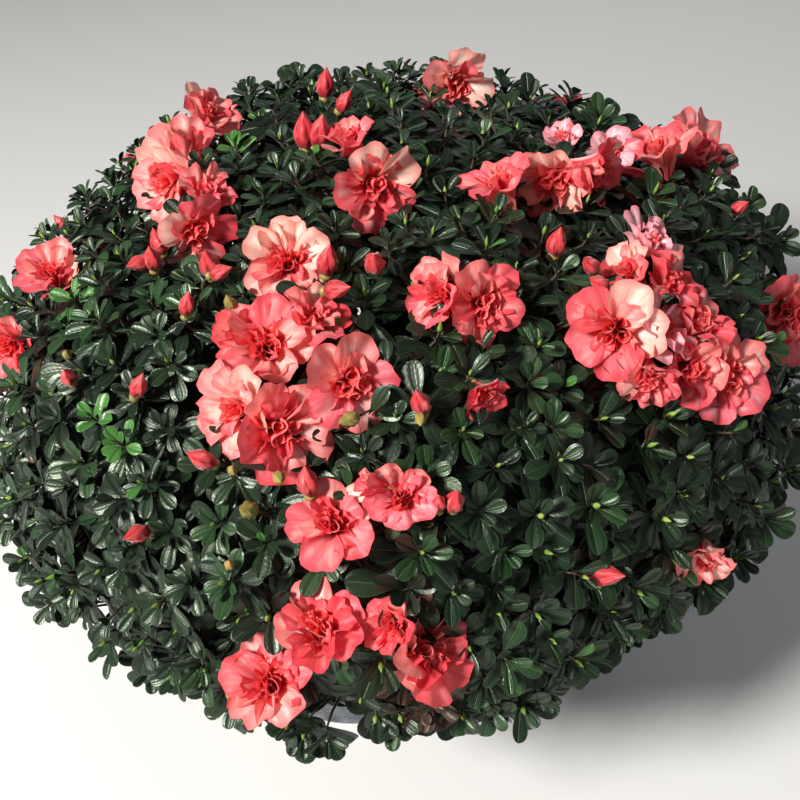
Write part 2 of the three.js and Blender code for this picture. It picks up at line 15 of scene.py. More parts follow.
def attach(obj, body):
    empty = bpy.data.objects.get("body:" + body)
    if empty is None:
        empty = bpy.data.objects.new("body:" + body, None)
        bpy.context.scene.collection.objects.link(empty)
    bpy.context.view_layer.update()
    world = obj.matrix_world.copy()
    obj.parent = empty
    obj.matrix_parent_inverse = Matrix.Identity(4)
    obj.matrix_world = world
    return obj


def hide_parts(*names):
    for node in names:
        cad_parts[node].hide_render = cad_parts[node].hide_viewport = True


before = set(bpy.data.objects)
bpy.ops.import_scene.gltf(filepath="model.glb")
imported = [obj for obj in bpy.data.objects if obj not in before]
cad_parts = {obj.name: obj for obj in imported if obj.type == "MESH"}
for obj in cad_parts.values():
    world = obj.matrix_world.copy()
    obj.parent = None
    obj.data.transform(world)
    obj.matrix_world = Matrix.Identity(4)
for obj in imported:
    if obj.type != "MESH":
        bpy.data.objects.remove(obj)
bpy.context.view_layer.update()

MM = 0.001
UP = np.array([0.0, 0.0, 1.0])
GOLDEN_ANGLE = 137.508
ANY_TURN = 0, 6.3  # in radians
MAP = "OFBake"  # the map that leaf and petal patterns follow
CELLS = 2  # each leaf and petal fills one of CELLS x CELLS squares of the map, so that their marks differ

# The pot, the crown and the limbs, as the part's source has them
POT_HEIGHT = 240 * MM
POT_BASE_RADIUS = 124 * MM
POT_RIM_RADIUS = 158 * MM
POT_WALL = 2.5 * MM
POT_FLOOR = 4 * MM
LIP_DEPTH = 20 * MM
LIP_STANDS_OUT = 5 * MM
SOIL_LEVEL = POT_HEIGHT - 24 * MM
CROWN_MIDDLE = np.array([65.0, 0.0, 360.0]) * MM
CROWN_RISE = 236 * MM
SKIRT_DROP = 136 * MM
CROWN_REACH = np.array([354, 344, 340, 352, 366, 358, 346, 348, 336, 332, 314, 336]) * MM
SHOULDER_POWER = 2.4
SKIRT_TUCK = 0.74
STEM_FOOT = np.array([0.0, 0.0, SOIL_LEVEL + 0.3 * MM])
STEM_TOP = np.array([34.0, 0.0, 312.0]) * MM
STEM_BEND = np.array([4 * MM, 0.0, STEM_FOOT[2] + 0.55 * (STEM_TOP[2] - STEM_FOOT[2])])
STEM_FOOT_RADIUS = 25 * MM
STEM_RADIUS = 15 * MM
STEM_TOP_RADIUS = 11 * MM
FLARE_FADES = 7
WHORLS = (0.26, 0.5, 0.74)
HIGH_ABOVE = 50
BOUGH_RADIUS = 5.6 * MM
BOUGH_TIP_RADIUS = 3.6 * MM
BOUGH_RISE = 0.3
MASS_STEM = 52 * MM
MASS_HEART = 0.6
MASSES = dict(
    top=(-60, 8), left_shoulder=(172, 34), front_shoulder=(-112, 38), right_shoulder=(-6, 34),
    back_shoulder=(82, 36), front_right=(-43, 58), right=(0, 78), back_right=(45, 76), back=(92, 78),
    back_left=(138, 76), left=(-176, 76), front_left=(-136, 74), front=(-92, 74),
)
FOLIAGE_NODES = ["foliage_" + name for name in MASSES]

# The front view, in an 800 by 800 frame
VIEW_FOCAL = 1050
VIEW_TILT = math.radians(41)
VIEW_ROLL = math.radians(5)
VIEW_DISTANCE = 960 * MM
VIEW_FRAME = 800
VIEW_OF_MIDDLE = (395, 381)
SENSOR = 36

# Layers of shoots, the outermost first: how many, how far below the skin, how unevenly, the first one's
# direction, the leaves of each, and their gain in size, since hidden leaves are larger to close the crown
LAYERS = [
    (760, -3 * MM, 16 * MM, 0, 15, 1),
    (560, 30 * MM, 42 * MM, 61, 10, 1.15),
    (230, 74 * MM, 60 * MM, 23, 8, 1.35),
]
LEAVES_UNDER_FLOWER = 8
LEAF_LENGTH = 22.5 * MM
LEAF_LENGTH_GAIN = 14 * MM  # towards the lower right of the front view, where the leaves are longer
LEAF_GAIN_FROM = 100
LEAF_GAIN_OVER = 600
LEAF_WIDTH_SHARE = 0.5
SHOOTS_TURN_UP = 0.35
LOW_SHOOTS_TURN_UP = 1.1  # more for the shoots under the crown's edge, the more their skin looks down
SPRIG_LEAN = 38
POT_ROOM = 5 * MM
FLOWER_ABOVE_SKIN = 5 * MM
SIDEWAYS_FLOWER_STANDS = 9 * MM
FLOWER_SUNK_ON_TOP = 9 * MM
HIDDEN_FLOWER_STANDS = 3 * MM
BUD_ABOVE_SKIN = 4 * MM
BUD_ROOM = 9 * MM
# Round a point this far before a flower's heart no shoot grows, and a little further out shoots sink. All but
# the last are shares of the flower's radius
FACE_CLEAR = 0.4
FACE_ROOM = 0.75
FACE_EDGE = 1.35
SUNK_SHOOT = 10 * MM
BLOOM_SEED = 29
BRANCHES_PER_MASS = 5
SPRAYS_PER_BRANCH = 4
BRANCH_SHARE = 0.5
SPRAY_SHARE = 0.55

# Shoots that stand out of the crown's outline in the front view: across, down, and towards which side
SEEN_SPRIGS = [
    (74, 590, 240), (48, 606, 225), (24, 560, 200), (140, 646, 215), (150, 672, 250), (176, 664, 245),
    (204, 668, 280), (228, 690, 270), (304, 732, 262), (328, 738, 290), (288, 726, 235), (376, 716, 262),
    (400, 716, 285), (432, 706, 265), (462, 712, 280), (492, 710, 270), (522, 706, 290), (545, 692, 315),
    (585, 660, 300), (620, 632, 300), (660, 608, 310), (700, 588, 300), (740, 560, 320), (768, 520, 340),
    (786, 470, 350), (790, 430, 0), (716, 168, 60), (750, 206, 40), (780, 240, 20),
    (6, 300, 175), (2, 470, 185), (6, 520, 200), (250, 90, 100), (300, 78, 95), (340, 82, 90), (384, 88, 85),
    (530, 100, 80), (600, 119, 70),
]
# Places in the front view, with a radius, where the newest leaves are bright green, and where they are bronze
YOUNG_PLACES = [
    (70, 285, 24), (115, 330, 24), (88, 405, 24), (105, 440, 24), (185, 225, 24), (790, 350, 24),
    (250, 130, 24),
]
BRONZE_PLACES = [(400, 690, 16), (430, 700, 16), (575, 395, 16), (105, 548, 16)]

# Flowers seen in the front view: across, down, width in mm, how far the flower leans away from the viewer,
# towards which side of the view (0 right, 90 up), its form, its tone, and towards which side a petal is pale.
# That is the lit side, and its paler petals are painted light; the deep tone marks flowers in shade, painted
# shade.
SEEN_FLOWERS = [
    (156, 180, 70, 54, 185, "cup", "pale", 120), (191, 133, 84, 68, 88, "tulip", "coral", 150),
    (212, 109, 60, 58, 60, "cup", "coral", 80), (207, 182, 50, 52, 70, "trumpet", "rose", 90),
    (195, 232, 66, 34, 300, "open", "coral", 200), (378, 183, 70, 28, 330, "double", "coral", 60),
    (347, 138, 50, 64, 110, "trumpet", "coral", 120), (285, 256, 70, 14, 120, "double", "pale", 40),
    (264, 338, 70, 22, 100, "double", "coral", 350), (351, 386, 69, 22, 330, "open", "rose", 110),
    (229, 411, 66, 46, 185, "double", "pale", 0), (285, 433, 72, 28, 325, "double", "coral", 20),
    (316, 310, 52, 52, 60, "trumpet", "coral", 100), (222, 331, 46, 66, 165, "tulip", "coral", 160),
    (331, 520, 63, 16, 120, "open", "coral", 80), (400, 496, 47, 12, 90, "double", "rose", 100),
    (362, 482, 34, 62, 170, "tulip", "coral", 90), (320, 619, 66, 30, 100, "double", "deep", 130),
    (268, 676, 70, 12, 160, "double", "coral", 280), (436, 645, 76, 46, 5, "cup", "coral", 170),
    (386, 621, 40, 34, 190, "cup", "deep", 90), (487, 303, 61, 26, 340, "double", "coral", 150),
    (430, 287, 56, 46, 160, "cup", "rose", 80), (488, 401, 34, 52, 310, "cup", "deep", 130),
    (455, 83, 70, 36, 290, "double", "pale", 80), (495, 183, 60, 64, 115, "trumpet", "coral", 120),
    (552, 181, 66, 34, 245, "double", "pale", 90), (604, 178, 60, 66, 350, "trumpet", "coral", 60),
    (615, 145, 46, 38, 70, "open", "lilac", 90), (563, 131, 36, 52, 90, "cup", "lilac", 90),
    (650, 151, 72, 70, 110, "trumpet", "coral", 120), (699, 155, 80, 66, 40, "trumpet", "rose", 100),
    (650, 240, 52, 62, 45, "trumpet", "lilac", 40), (622, 266, 50, 45, 140, "cup", "coral", 90),
    (670, 282, 56, 60, 40, "trumpet", "coral", 60), (613, 330, 71, 10, 240, "open", "coral", 10),
    (662, 330, 60, 58, 20, "trumpet", "lilac", 20), (698, 324, 54, 62, 40, "trumpet", "coral", 60),
    (693, 375, 52, 30, 330, "cup", "coral", 60), (728, 377, 72, 42, 350, "open", "rose", 60),
    (648, 389, 48, 50, 275, "cup", "coral", 200), (792, 320, 84, 30, 330, "cup", "coral", 60),
    (48, 266, 58, 44, 120, "cup", "rose", 60), (6, 348, 52, 38, 200, "cup", "coral", 150),
    (694, 560, 48, 60, 280, "cup", "pale", 280),
]

# Flowers on the sides that the front view hides: direction round the plant, and angle down
HIDDEN_FLOWERS = [
    (30, 68), (38, 78), (52, 56), (60, 68), (78, 58), (84, 70), (93, 62), (104, 82), (118, 58),
    (126, 66), (134, 62), (146, 80), (158, 76), (166, 88), (20, 86), (6, 98), (178, 100), (70, 82),
]

# Buds: across, down, length in mm, lean and towards. The second list's petals are still green
SEEN_BUDS = [
    (305, 136, 34, 66, 95), (320, 136, 32, 66, 80), (325, 88, 30, 74, 90), (345, 106, 24, 60, 60),
    (142, 267, 22, 50, 200), (155, 262, 24, 50, 100), (161, 246, 24, 58, 110), (211, 268, 28, 50, 110),
    (222, 276, 20, 50, 20), (375, 266, 28, 20, 90), (338, 293, 24, 50, 10), (328, 264, 27, 62, 85),
    (421, 404, 24, 40, 100), (205, 460, 24, 50, 160), (140, 532, 24, 55, 190), (73, 378, 22, 30, 120),
    (142, 388, 22, 50, 70), (190, 308, 20, 62, 80), (600, 573, 32, 50, 350), (555, 246, 26, 50, 80),
    (453, 500, 24, 30, 80), (437, 502, 18, 35, 100), (309, 481, 26, 50, 100), (588, 268, 22, 40, 130),
    (597, 286, 20, 50, 150), (735, 211, 20, 50, 30),
]
GREEN_BUDS = [
    (250, 508, 20, 40, 170), (350, 421, 18, 50, 200), (235, 470, 12, 20, 90), (281, 478, 14, 30, 300),
    (232, 562, 12, 20, 90), (72, 356, 12, 30, 90), (420, 421, 13, 40, 270), (232, 306, 14, 50, 110),
]
HIDDEN_BUDS = [(24, 68), (70, 76), (110, 68), (154, 68), (172, 92), (46, 62), (98, 54), (136, 70), (14, 78)]

# Places in the front view that stay open. The pot's foot shows through the first four, and the rest notch the
# outline
CLEARINGS = [(322, 713, 10), (338, 717, 11), (352, 718, 11), (365, 716, 9), (103, 612, 8), (124, 668, 8)]


class Chance:
    """Numbers from 0 to 1 that follow from a seed, as the part's source makes them."""

    def __init__(self, seed):
        self.state = seed

    def __call__(self, low=0.0, high=1.0):
        self.state = self.state * 16807 % 2147483647
        return low + (high - low) * self.state / 2147483647


def unit(v):
    return v / norm(v, axis=-1, keepdims=True)


def swung(turn, side, other):
    """A direction turned by degrees from one side towards another."""
    return math.cos(math.radians(turn)) * side + math.sin(math.radians(turn)) * other


def around(axis):
    """Two directions square to an axis and to each other."""
    side = np.cross(axis, UP)
    if norm(side) < 1e-6:
        side = np.array([1.0, 0.0, 0.0])
    side = unit(side)
    return side, np.cross(axis, side)


# The crown


def reach_at(angle):
    place = np.mod(angle, 360) / (360 / len(CROWN_REACH))
    index = np.floor(place).astype(int) % len(CROWN_REACH)
    blend = (1 - np.cos(np.pi * (place - np.floor(place)))) / 2
    return CROWN_REACH[index] * (1 - blend) + CROWN_REACH[(index + 1) % len(CROWN_REACH)] * blend


def crown_point(angle, down, share=1.0):
    """A point of the crown, by direction, angle down from the top and share of the way out to the skin."""
    angle, down = np.asarray(angle, float), np.asarray(down, float)
    out = np.abs(np.sin(np.radians(down))) ** (2 / SHOULDER_POWER) * reach_at(angle)
    rise = np.abs(np.cos(np.radians(down))) ** (2 / SHOULDER_POWER)
    height = np.where(down <= 90, rise * CROWN_RISE, -rise * SKIRT_DROP)
    turn = np.radians(angle)
    return np.stack([out * np.cos(turn), out * np.sin(turn), height], -1) * share + CROWN_MIDDLE


def share_of(point):
    """How far out in the crown points are: 0 at its middle, 1 on its skin."""
    gap = point - CROWN_MIDDLE
    across = np.hypot(gap[..., 0], gap[..., 1]) / reach_at(np.degrees(np.arctan2(gap[..., 1], gap[..., 0])))
    height = np.abs(gap[..., 2]) / np.where(gap[..., 2] > 0, CROWN_RISE, SKIRT_DROP)
    return (across**SHOULDER_POWER + height**SHOULDER_POWER) ** (1 / SHOULDER_POWER)


def outward_at(point):
    step = 2 * MM
    slopes = [share_of(point + step * axis) - share_of(point - step * axis) for axis in np.eye(3)]
    return unit(np.stack(slopes, -1))


def even_levels(count):
    """Angles down from the top that share the skin's area evenly."""
    tucked = 180 - math.degrees(math.asin(SKIRT_TUCK ** (SHOULDER_POWER / 2)))
    levels = np.linspace(0, tucked, 401)
    line = crown_point(0, levels)
    middle = (line[1:, 0] + line[:-1, 0]) / 2 - CROWN_MIDDLE[0]
    area = np.concatenate([[0], np.cumsum(middle * norm(np.diff(line, axis=0), axis=1))])
    return np.interp(area[-1] * (np.arange(count) + 0.5) / count, area, levels)


# The front view

AHEAD = np.array([0, math.cos(VIEW_TILT), -math.sin(VIEW_TILT)])
ABOVE = np.array([0, math.sin(VIEW_TILT), math.cos(VIEW_TILT)])
ASIDE = np.array([1.0, 0.0, 0.0])
VIEW_RIGHT = math.cos(VIEW_ROLL) * ASIDE - math.sin(VIEW_ROLL) * ABOVE
VIEW_UP = math.sin(VIEW_ROLL) * ASIDE + math.cos(VIEW_ROLL) * ABOVE


def line_of_sight(across, down):
    u, v = (across - VIEW_FRAME / 2) / VIEW_FOCAL, (down - VIEW_FRAME / 2) / VIEW_FOCAL
    return AHEAD + u * VIEW_RIGHT - v * VIEW_UP


EYE = CROWN_MIDDLE - line_of_sight(*VIEW_OF_MIDDLE) * VIEW_DISTANCE


def seen_on_crown(across, down):
    """The point of the skin that shows at a place in the front view."""
    ways = np.arange(VIEW_DISTANCE / 2, VIEW_DISTANCE * 1.5, 1 * MM)
    points = EYE + ways[:, None] * line_of_sight(across, down)
    shares = share_of(points)
    inside = np.flatnonzero(shares <= 1)
    return points[inside[0] if len(inside) else np.argmin(shares)]


def in_view(points):
    """Where points show in the front view."""
    gap = points - EYE
    offset = np.stack([gap @ VIEW_RIGHT, -(gap @ VIEW_UP)], -1)
    return VIEW_FRAME / 2 + VIEW_FOCAL * offset / (gap @ AHEAD)[..., None]


def leaning(point, lean, towards):
    """A direction that leans away from the viewer at a point, towards a side of the view."""
    back = unit(EYE - point)
    sideways = swung(towards, VIEW_RIGHT, VIEW_UP)
    return unit(swung(lean, back, unit(sideways - back * (sideways @ back))))


# Meshes


def new_object(name, data):
    made = bpy.data.objects.new(name, data)
    bpy.context.scene.collection.objects.link(made)
    return made


class Batch:
    """Many small shapes that become one mesh."""

    def __init__(self):
        self.points, self.faces, self.maps, self.count = [], [], [], 0

    def add(self, points, faces, maps=None):
        self.points.append(points.reshape(-1, 3))
        self.faces.append(faces + self.count)
        self.maps.append(np.zeros((len(self.points[-1]), 2)) if maps is None else maps)
        self.count += len(self.points[-1])

    def build(self, name, material, slot="foliage", nodes=FOLIAGE_NODES, mapped=False):
        points, faces = np.concatenate(self.points), np.concatenate(self.faces)
        mesh = bpy.data.meshes.new(name)
        mesh.from_pydata(points, [], faces, shade_flat=False)
        if mapped:
            layer = mesh.uv_layers.new(name=MAP)
            layer.data.foreach_set("uv", np.concatenate(self.maps)[faces.ravel()].astype(np.float32).ravel())
        mesh.validate()
        piece = new_object(name, mesh)
        mesh.materials.append(material)
        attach(piece, "root")
        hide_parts(*nodes)


@cache
def grid_faces(rows, columns, closed=False):
    """Triangles over a grid of points. A closed grid's last column meets its first."""
    i, j = np.mgrid[: rows - 1, : columns if closed else columns - 1].reshape(2, -1)
    k = (j + 1) % columns
    a, b, c, d = i * columns + j, i * columns + k, (i + 1) * columns + k, (i + 1) * columns + j
    return np.concatenate([np.stack([a, b, c], 1), np.stack([a, c, d], 1)])


LEAF_ROWS = np.array([0.0, 0.12, 0.28, 0.45, 0.62, 0.78, 0.89, 0.96, 1.0])
LEAF_HALVES = np.array([0.07, 0.17, 0.46, 0.78, 0.98, 1.0, 0.84, 0.56, 0.14])
LEAF_ACROSS = np.array([-1.0, 0.0, 1.0])
LEAF_FACES = grid_faces(len(LEAF_ROWS), len(LEAF_ACROSS))


def on_cell(across, along, chance):
    """Places across and along a leaf or petal, put on one square of the map."""
    place = np.stack(np.broadcast_arrays(across, along), -1).reshape(-1, 2)
    return (place + (int(chance(0, CELLS)), int(chance(0, CELLS)))) / CELLS


def add_leaf(batch, base, along, face, length, width, droop, fold, chance):
    """A blade: `face` is its upper side, `droop` how far its tip bends down, `fold` its trough."""
    halves = LEAF_HALVES * width / 2
    middle = base + np.outer(LEAF_ROWS * length * (1 - 0.35 * droop * LEAF_ROWS), along)
    middle = middle - np.outer(droop * LEAF_ROWS**2 * length, face)
    edge = np.outer(halves * math.cos(fold), np.cross(along, face))
    lift = np.outer(halves * math.sin(fold), face)
    points = np.stack([middle - edge + lift, middle, middle + edge + lift], 1)
    batch.add(points, LEAF_FACES, on_cell(0.5 + 0.48 * LEAF_ACROSS, 0.02 + 0.96 * LEAF_ROWS[:, None], chance))


def bezier(start, bend, end, t):
    t = np.asarray(t, float)[..., None]
    return (1 - t) ** 2 * start + 2 * t * (1 - t) * bend + t**2 * end


def turns(sides):
    """Directions evenly round an axis, in radians."""
    return np.arange(sides) * 2 * np.pi / sides


def round_line(line, tangent, radius, sides):
    """Rings of points round a line, each square to it."""
    turn = turns(sides)[:, None]
    side = unit(np.cross(tangent, around(unit(line[-1] - line[0]))[0]))
    other = np.cross(tangent, side)
    return line[:, None] + radius[..., None] * (np.cos(turn) * side[:, None] + np.sin(turn) * other[:, None])


def round_axis(base, axis, out, turn, up):
    """Points so far out from an axis, in such a direction round it, and so far up along it."""
    side, other = around(axis)
    points = base + up[..., None] * axis
    return points + (out * np.cos(turn))[..., None] * side + (out * np.sin(turn))[..., None] * other


def add_tube(batch, start, bend, end, start_radius, end_radius, steps, sides):
    """A tapering twig on one smooth bend."""
    t = np.linspace(0, 1, steps + 1)[:, None]
    tangent = unit(2 * (1 - t) * (bend - start) + 2 * t * (end - bend) + 1e-9)
    radius = start_radius + (end_radius - start_radius) * t
    points = round_line(bezier(start, bend, end, t[:, 0]), tangent, radius, sides)
    batch.add(points, grid_faces(steps + 1, sides, True))


def add_spindle(batch, base, axis, length, radius, sides, rows):
    """A small pointed bud, chip or scale."""
    t = np.linspace(0, 1, rows)[:, None]
    out = radius * np.maximum(np.sin(np.pi * t**0.8), 0.04)
    batch.add(round_axis(base, axis, out, turns(sides), t * length), grid_faces(rows, sides, True))


BUD_FOLDS = 5
BUD_SPIRAL = 0.9


def add_rolled_bud(batch, base, axis, length, radius, chance):
    """A flower bud: petals rolled round one another, their edges in a spiral that closes to a point."""
    rows, columns = 12, 26
    t = np.linspace(0, 1, rows)[:, None]
    u = np.linspace(0, 1, columns)
    turn = 2 * np.pi * u
    fold = np.mod(BUD_FOLDS * u + BUD_SPIRAL * t, 1)
    swell = np.maximum(np.sin(np.pi * t**0.72) ** 0.85, 0.03)
    out = radius * swell * (0.8 + 0.4 * fold * np.sin(np.pi * t) + 0.06 * chance(-1, 1) * np.sin(turn))
    bend = chance(-0.12, 0.12) * length * t**2
    points = round_axis(base, axis, out, turn, t * length) + bend[..., None] * around(axis)[0]
    batch.add(points, grid_faces(rows, columns), on_cell(0.03 + 0.94 * u, 0.03 + 0.94 * t, chance))


def add_curl(batch, centre, axis, radius, height, wrap, chance):
    """A small petal of the flower's heart, rolled on itself like a rosebud, with a flared and waved rim."""
    rows, columns = 6, 18
    v = np.linspace(0, 1, rows)[:, None]
    u = np.linspace(0, 1, columns)
    turn = chance(*ANY_TURN) + np.radians(wrap) * u
    a, b = chance(*ANY_TURN), chance(*ANY_TURN)
    out = radius * ((0.3 + 0.7 * u) * (0.62 + 0.25 * v + 0.22 * v**4) + 0.07 * np.sin(3 * turn + a) * v)
    fade = 1 - 0.35 * (2 * u - 1) ** 8
    up = height * (v * fade - 1) + height * 0.09 * np.sin(2 * turn + b) * v
    points = round_axis(centre, axis, out, turn, up)
    batch.add(points, grid_faces(rows, columns), on_cell(0.03 + 0.94 * u, 0.1 + 0.87 * v, chance))


PETAL_STEPS = np.linspace(0, 1, 41)


def opening(foot, rim, late):
    """How a petal's midline opens: its slope from the axis, and its way out and up, for a length of 1."""
    slope = np.radians(foot + (rim - foot) * PETAL_STEPS**late)
    middle = (slope[1:] + slope[:-1]) / 2
    out, up = (np.append(0, np.cumsum(part(middle))) / len(middle) for part in (np.sin, np.cos))
    return slope, out, up


def add_petal(
    batch, centre, axis, turn, chance, grid, reach, foot_radius, foot, rim, late, lift, half,
    rounding, notch, crinkle, ruffle, cup, fold, twist,
):
    """One petal of a funnel, from near the axis at its foot to a waved and crinkled edge at its rim."""
    rows, columns = grid
    v = np.linspace(0, 1, rows)[:, None]
    u = np.linspace(-1, 1, columns)
    a, b, c, d = (chance(*ANY_TURN) for _ in range(4))
    edge = rounding * np.abs(u) ** 2.4 + notch * np.exp(-((u * 4.5) ** 2))
    edge = edge + crinkle * (np.sin(7.5 * u + a) + 0.7 * np.sin(13 * u + b))
    s = v * (1 - edge)
    slope, out, up = opening(foot, rim, late)
    length = (reach - foot_radius) / out[-1]
    radius = foot_radius + length * np.interp(s, PETAL_STEPS, out)
    height = lift + length * (np.interp(s, PETAL_STEPS, up) - up[-1])
    tilt = np.interp(s, PETAL_STEPS, slope)
    waves = 0.6 * np.sin(4.4 * u + c) + 0.5 * np.sin(8.8 * u + 2.5 * s + d)
    off = ruffle * s**1.8 * (0.45 + 0.9 * np.abs(u)) * waves
    off = off + length * s * (cup * u**2 + fold * np.abs(u) + twist * u)
    radius = radius - np.cos(tilt) * off
    height = height + np.sin(tilt) * off
    way = math.radians(turn) + u * math.radians(half)
    points = round_axis(centre, axis, radius, way, height)
    batch.add(points, grid_faces(rows, columns), on_cell(0.5 + 0.47 * u, 0.03 + 0.94 * v, chance))


# Materials


class Nodes:
    """A material's node tree, with short calls for the nodes that this scene uses."""

    def __init__(self, name, roughness, specular, **sockets):
        self.material = bpy.data.materials.new(name)
        self.material.use_nodes = True
        self.tree = self.material.node_tree
        self.shader = self.tree.nodes["Principled BSDF"]
        for key, value in {"Roughness": roughness, "Specular IOR Level": specular, **sockets}.items():
            self.set(key.replace("_", " "), value)

    def put(self, socket, value):
        if isinstance(value, bpy.types.NodeSocket):
            self.tree.links.new(value, socket)
        else:
            socket.default_value = (*value, 1) if socket.type == "RGBA" else value

    def set(self, name, value):
        self.put(self.shader.inputs[name], value)

    def node(self, kind, inputs, **settings):
        """The outputs of a new node, with its inputs given by name or number."""
        made = self.tree.nodes.new("ShaderNode" + kind)
        for key, value in settings.items():
            setattr(made, key, value)
        for key, value in inputs.items():
            self.put(made.inputs[key], value)
        return made.outputs

    def math(self, operation, a, b=0, clamp=False):
        return self.node("Math", {0: a, 1: b}, operation=operation, use_clamp=clamp)[0]

    def times(self, a, b):
        return self.math("MULTIPLY", a, b)

    def ramp(self, value, *stops, smooth=False):
        made = self.tree.nodes.new("ShaderNodeValToRGB")
        made.color_ramp.interpolation = "EASE" if smooth else "LINEAR"
        points = made.color_ramp.elements
        while len(points) < len(stops):
            points.new(0.5)
        for point, (place, colour) in zip(points, stops):
            point.position = place
            point.color = (*colour, 1) if isinstance(colour, tuple) else (colour, colour, colour, 1)
        self.put(made.inputs[0], value)
        return made.outputs[0]

    def mix(self, share, a, b):
        return self.node("Mix", {0: share, 6: a, 7: b}, data_type="RGBA")[2]

    def noise(self, place, scale, detail=3, roughness=0.5):
        inputs = {"Vector": place, "Scale": scale, "Detail": detail, "Roughness": roughness}
        return self.node("TexNoise", inputs)[0]

    def scaled(self, place, scale):
        return self.node("Mapping", {"Vector": place, "Scale": scale})[0]

    def where(self):
        return self.node("TexCoord", {})["Object"]

    def on_map(self):
        """A place on the map, its shares across and along the leaf or petal, and how far off the middle."""
        place = self.node("UVMap", {}, uv_map=MAP)[0]
        parts = self.node("SeparateXYZ", {0: place})
        across, along = (self.math("FRACT", self.times(part, CELLS)) for part in parts[:2])
        return place, across, along, self.math("ABSOLUTE", self.math("SUBTRACT", across, 0.5))

    def bump(self, height, distance, strength=1):
        inputs = {"Distance": distance, "Strength": strength, "Height": height}
        self.set("Normal", self.node("Bump", inputs)[0])

    def let_light_through(self, share, colour):
        thin = self.node("BsdfTranslucent", {"Color": colour})[0]
        both = self.node("MixShader", {0: share, 1: self.shader.outputs[0], 2: thin})[0]
        self.put(self.tree.nodes["Material Output"].inputs["Surface"], both)


LEAF_GLOSS = 0.5
LEAF_SHINE = (0.88, 1, 0.82)


def leaf_material(name, blade, rib, edge, roughness):
    """A glossy leaf: sunk pale midrib, fainter side veins, and a thin lighter edge, partly a paler margin and
    partly painted highlight.
    """
    n = Nodes("leaf_" + name, roughness, LEAF_GLOSS, Specular_Tint=LEAF_SHINE)
    place, _, along, off = n.on_map()
    slant = n.math("SUBTRACT", n.times(along, 8), n.times(off, 7))
    veins = n.ramp(n.math("PINGPONG", slant, 0.5), (0, 1), (0.1, 0))
    mottle = n.noise(n.scaled(place, (5, 9, 1)), 3)
    colour = n.mix(n.ramp(mottle, (0.35, 0), (0.65, 0.6)), blade, tuple(c * 1.6 for c in blade))
    colour = n.mix(n.times(veins, 0.28), colour, rib)
    colour = n.mix(n.ramp(off, (0.01, 0.85), (0.03, 0)), colour, rib)
    # The thin lighter edge: partly a paler margin, partly a painted edge highlight.
    n.set("Base Color", n.mix(n.ramp(off, (0.45, 0), (0.478, 0.6)), colour, edge))
    swell = n.ramp(off, (0, 0), (0.05, 0.45), (0.25, 1), (0.48, 0.55), smooth=True)
    n.bump(n.math("SUBTRACT", swell, n.times(veins, 0.05)), 1.1 * MM, 0.8)
    return n.material


def petal_material(name, throat, body, rim, patch, flash, glow=0.4, folds=0):
    """A thin silky petal: deeper in the throat, partly its own colour and partly painted shade, and deeper
    along its edge, with veins that fan out and paler patches, partly its own markings and partly painted
    highlight.

    `flash` is the strength of the pale flash up its middle, partly its own marking and partly painted
    highlight.
    With `folds` it is the skin of a bud, and the deeper lines, painted shade in its creases, follow the edges
    of its rolled petals.
    """
    n = Nodes("petal_" + name, 0.5, 0.35, Sheen_Weight=0.2, Sheen_Roughness=0.4)
    place, across, along, off = n.on_map()
    # Deeper towards the throat: partly the petal's own colour, partly painted shade in the funnel.
    nearer = tuple((a + 2 * b) / 3 for a, b in zip(throat, body))
    colour = n.ramp(along, (0.1, throat), (0.42, nearer), (0.62, body))
    fan = n.noise(n.scaled(place, (44, 3, 1)), 1, 4, 0.6)
    blotch = n.noise(n.scaled(place, (4.6, 3.2, 1)), 1.4, 2)
    # Paler patches and a pale streak up the middle: partly the petal's own markings, partly painted
    # highlight.
    high = n.ramp(along, (0.3, 0), (0.62, 1), (0.9, 1), (1, 0))
    colour = n.mix(n.times(n.ramp(blotch, (0.5, 0), (0.66, 0.85)), high), colour, patch)
    up_middle = n.times(n.ramp(along, (0.26, 0), (0.5, 1), (0.92, 0), smooth=True), flash)
    up_middle = n.times(up_middle, n.ramp(off, (0, 1), (0.2, 0.75), (0.42, 0), smooth=True))
    colour = n.mix(n.times(up_middle, n.ramp(fan, (0.3, 1), (0.7, 0.55))), colour, patch)
    colour = n.mix(n.ramp(fan, (0.45, 0), (0.62, 0.35)), colour, throat)
    if folds:
        # Painted shade: deeper lines in the creases at the edges of the bud's rolled petals.
        fold = n.math("FRACT", n.math("ADD", n.times(across, folds), n.times(along, BUD_SPIRAL)))
        colour = n.mix(n.ramp(fold, (0, 1), (0.12, 0.25), (0.5, 0), (0.93, 0), (1, 0.4)), colour, throat)
    else:
        edge = n.math("MAXIMUM", n.ramp(off, (0.4, 0), (0.465, 1)), n.ramp(along, (0.86, 0), (0.955, 1)))
        colour = n.mix(n.times(edge, 0.75), colour, rim)
    n.set("Base Color", colour)
    n.bump(n.math("ADD", fan, n.times(blotch, 1.5)), 0.6 * MM, 0.4)
    n.let_light_through(glow, body)
    return n.material


# Leaves by tone: blade, rib, edge and roughness
LEAF_COLOURS = {
    "dark": ((0.003, 0.008, 0.0036), (0.022, 0.042, 0.022), (0.026, 0.042, 0.026), 0.38),
    "mid": ((0.005, 0.0145, 0.0056), (0.036, 0.068, 0.032), (0.036, 0.06, 0.034), 0.36),
    "green": ((0.009, 0.028, 0.009), (0.058, 0.11, 0.04), (0.06, 0.1, 0.045), 0.36),
    "young": ((0.03, 0.105, 0.018), (0.11, 0.22, 0.06), (0.1, 0.2, 0.06), 0.36),
    "bronze": ((0.024, 0.008, 0.005), (0.065, 0.03, 0.02), (0.055, 0.027, 0.018), 0.46),
}
LEAF_TONES = {tone: leaf_material(tone, *colours) for tone, colours in LEAF_COLOURS.items()}
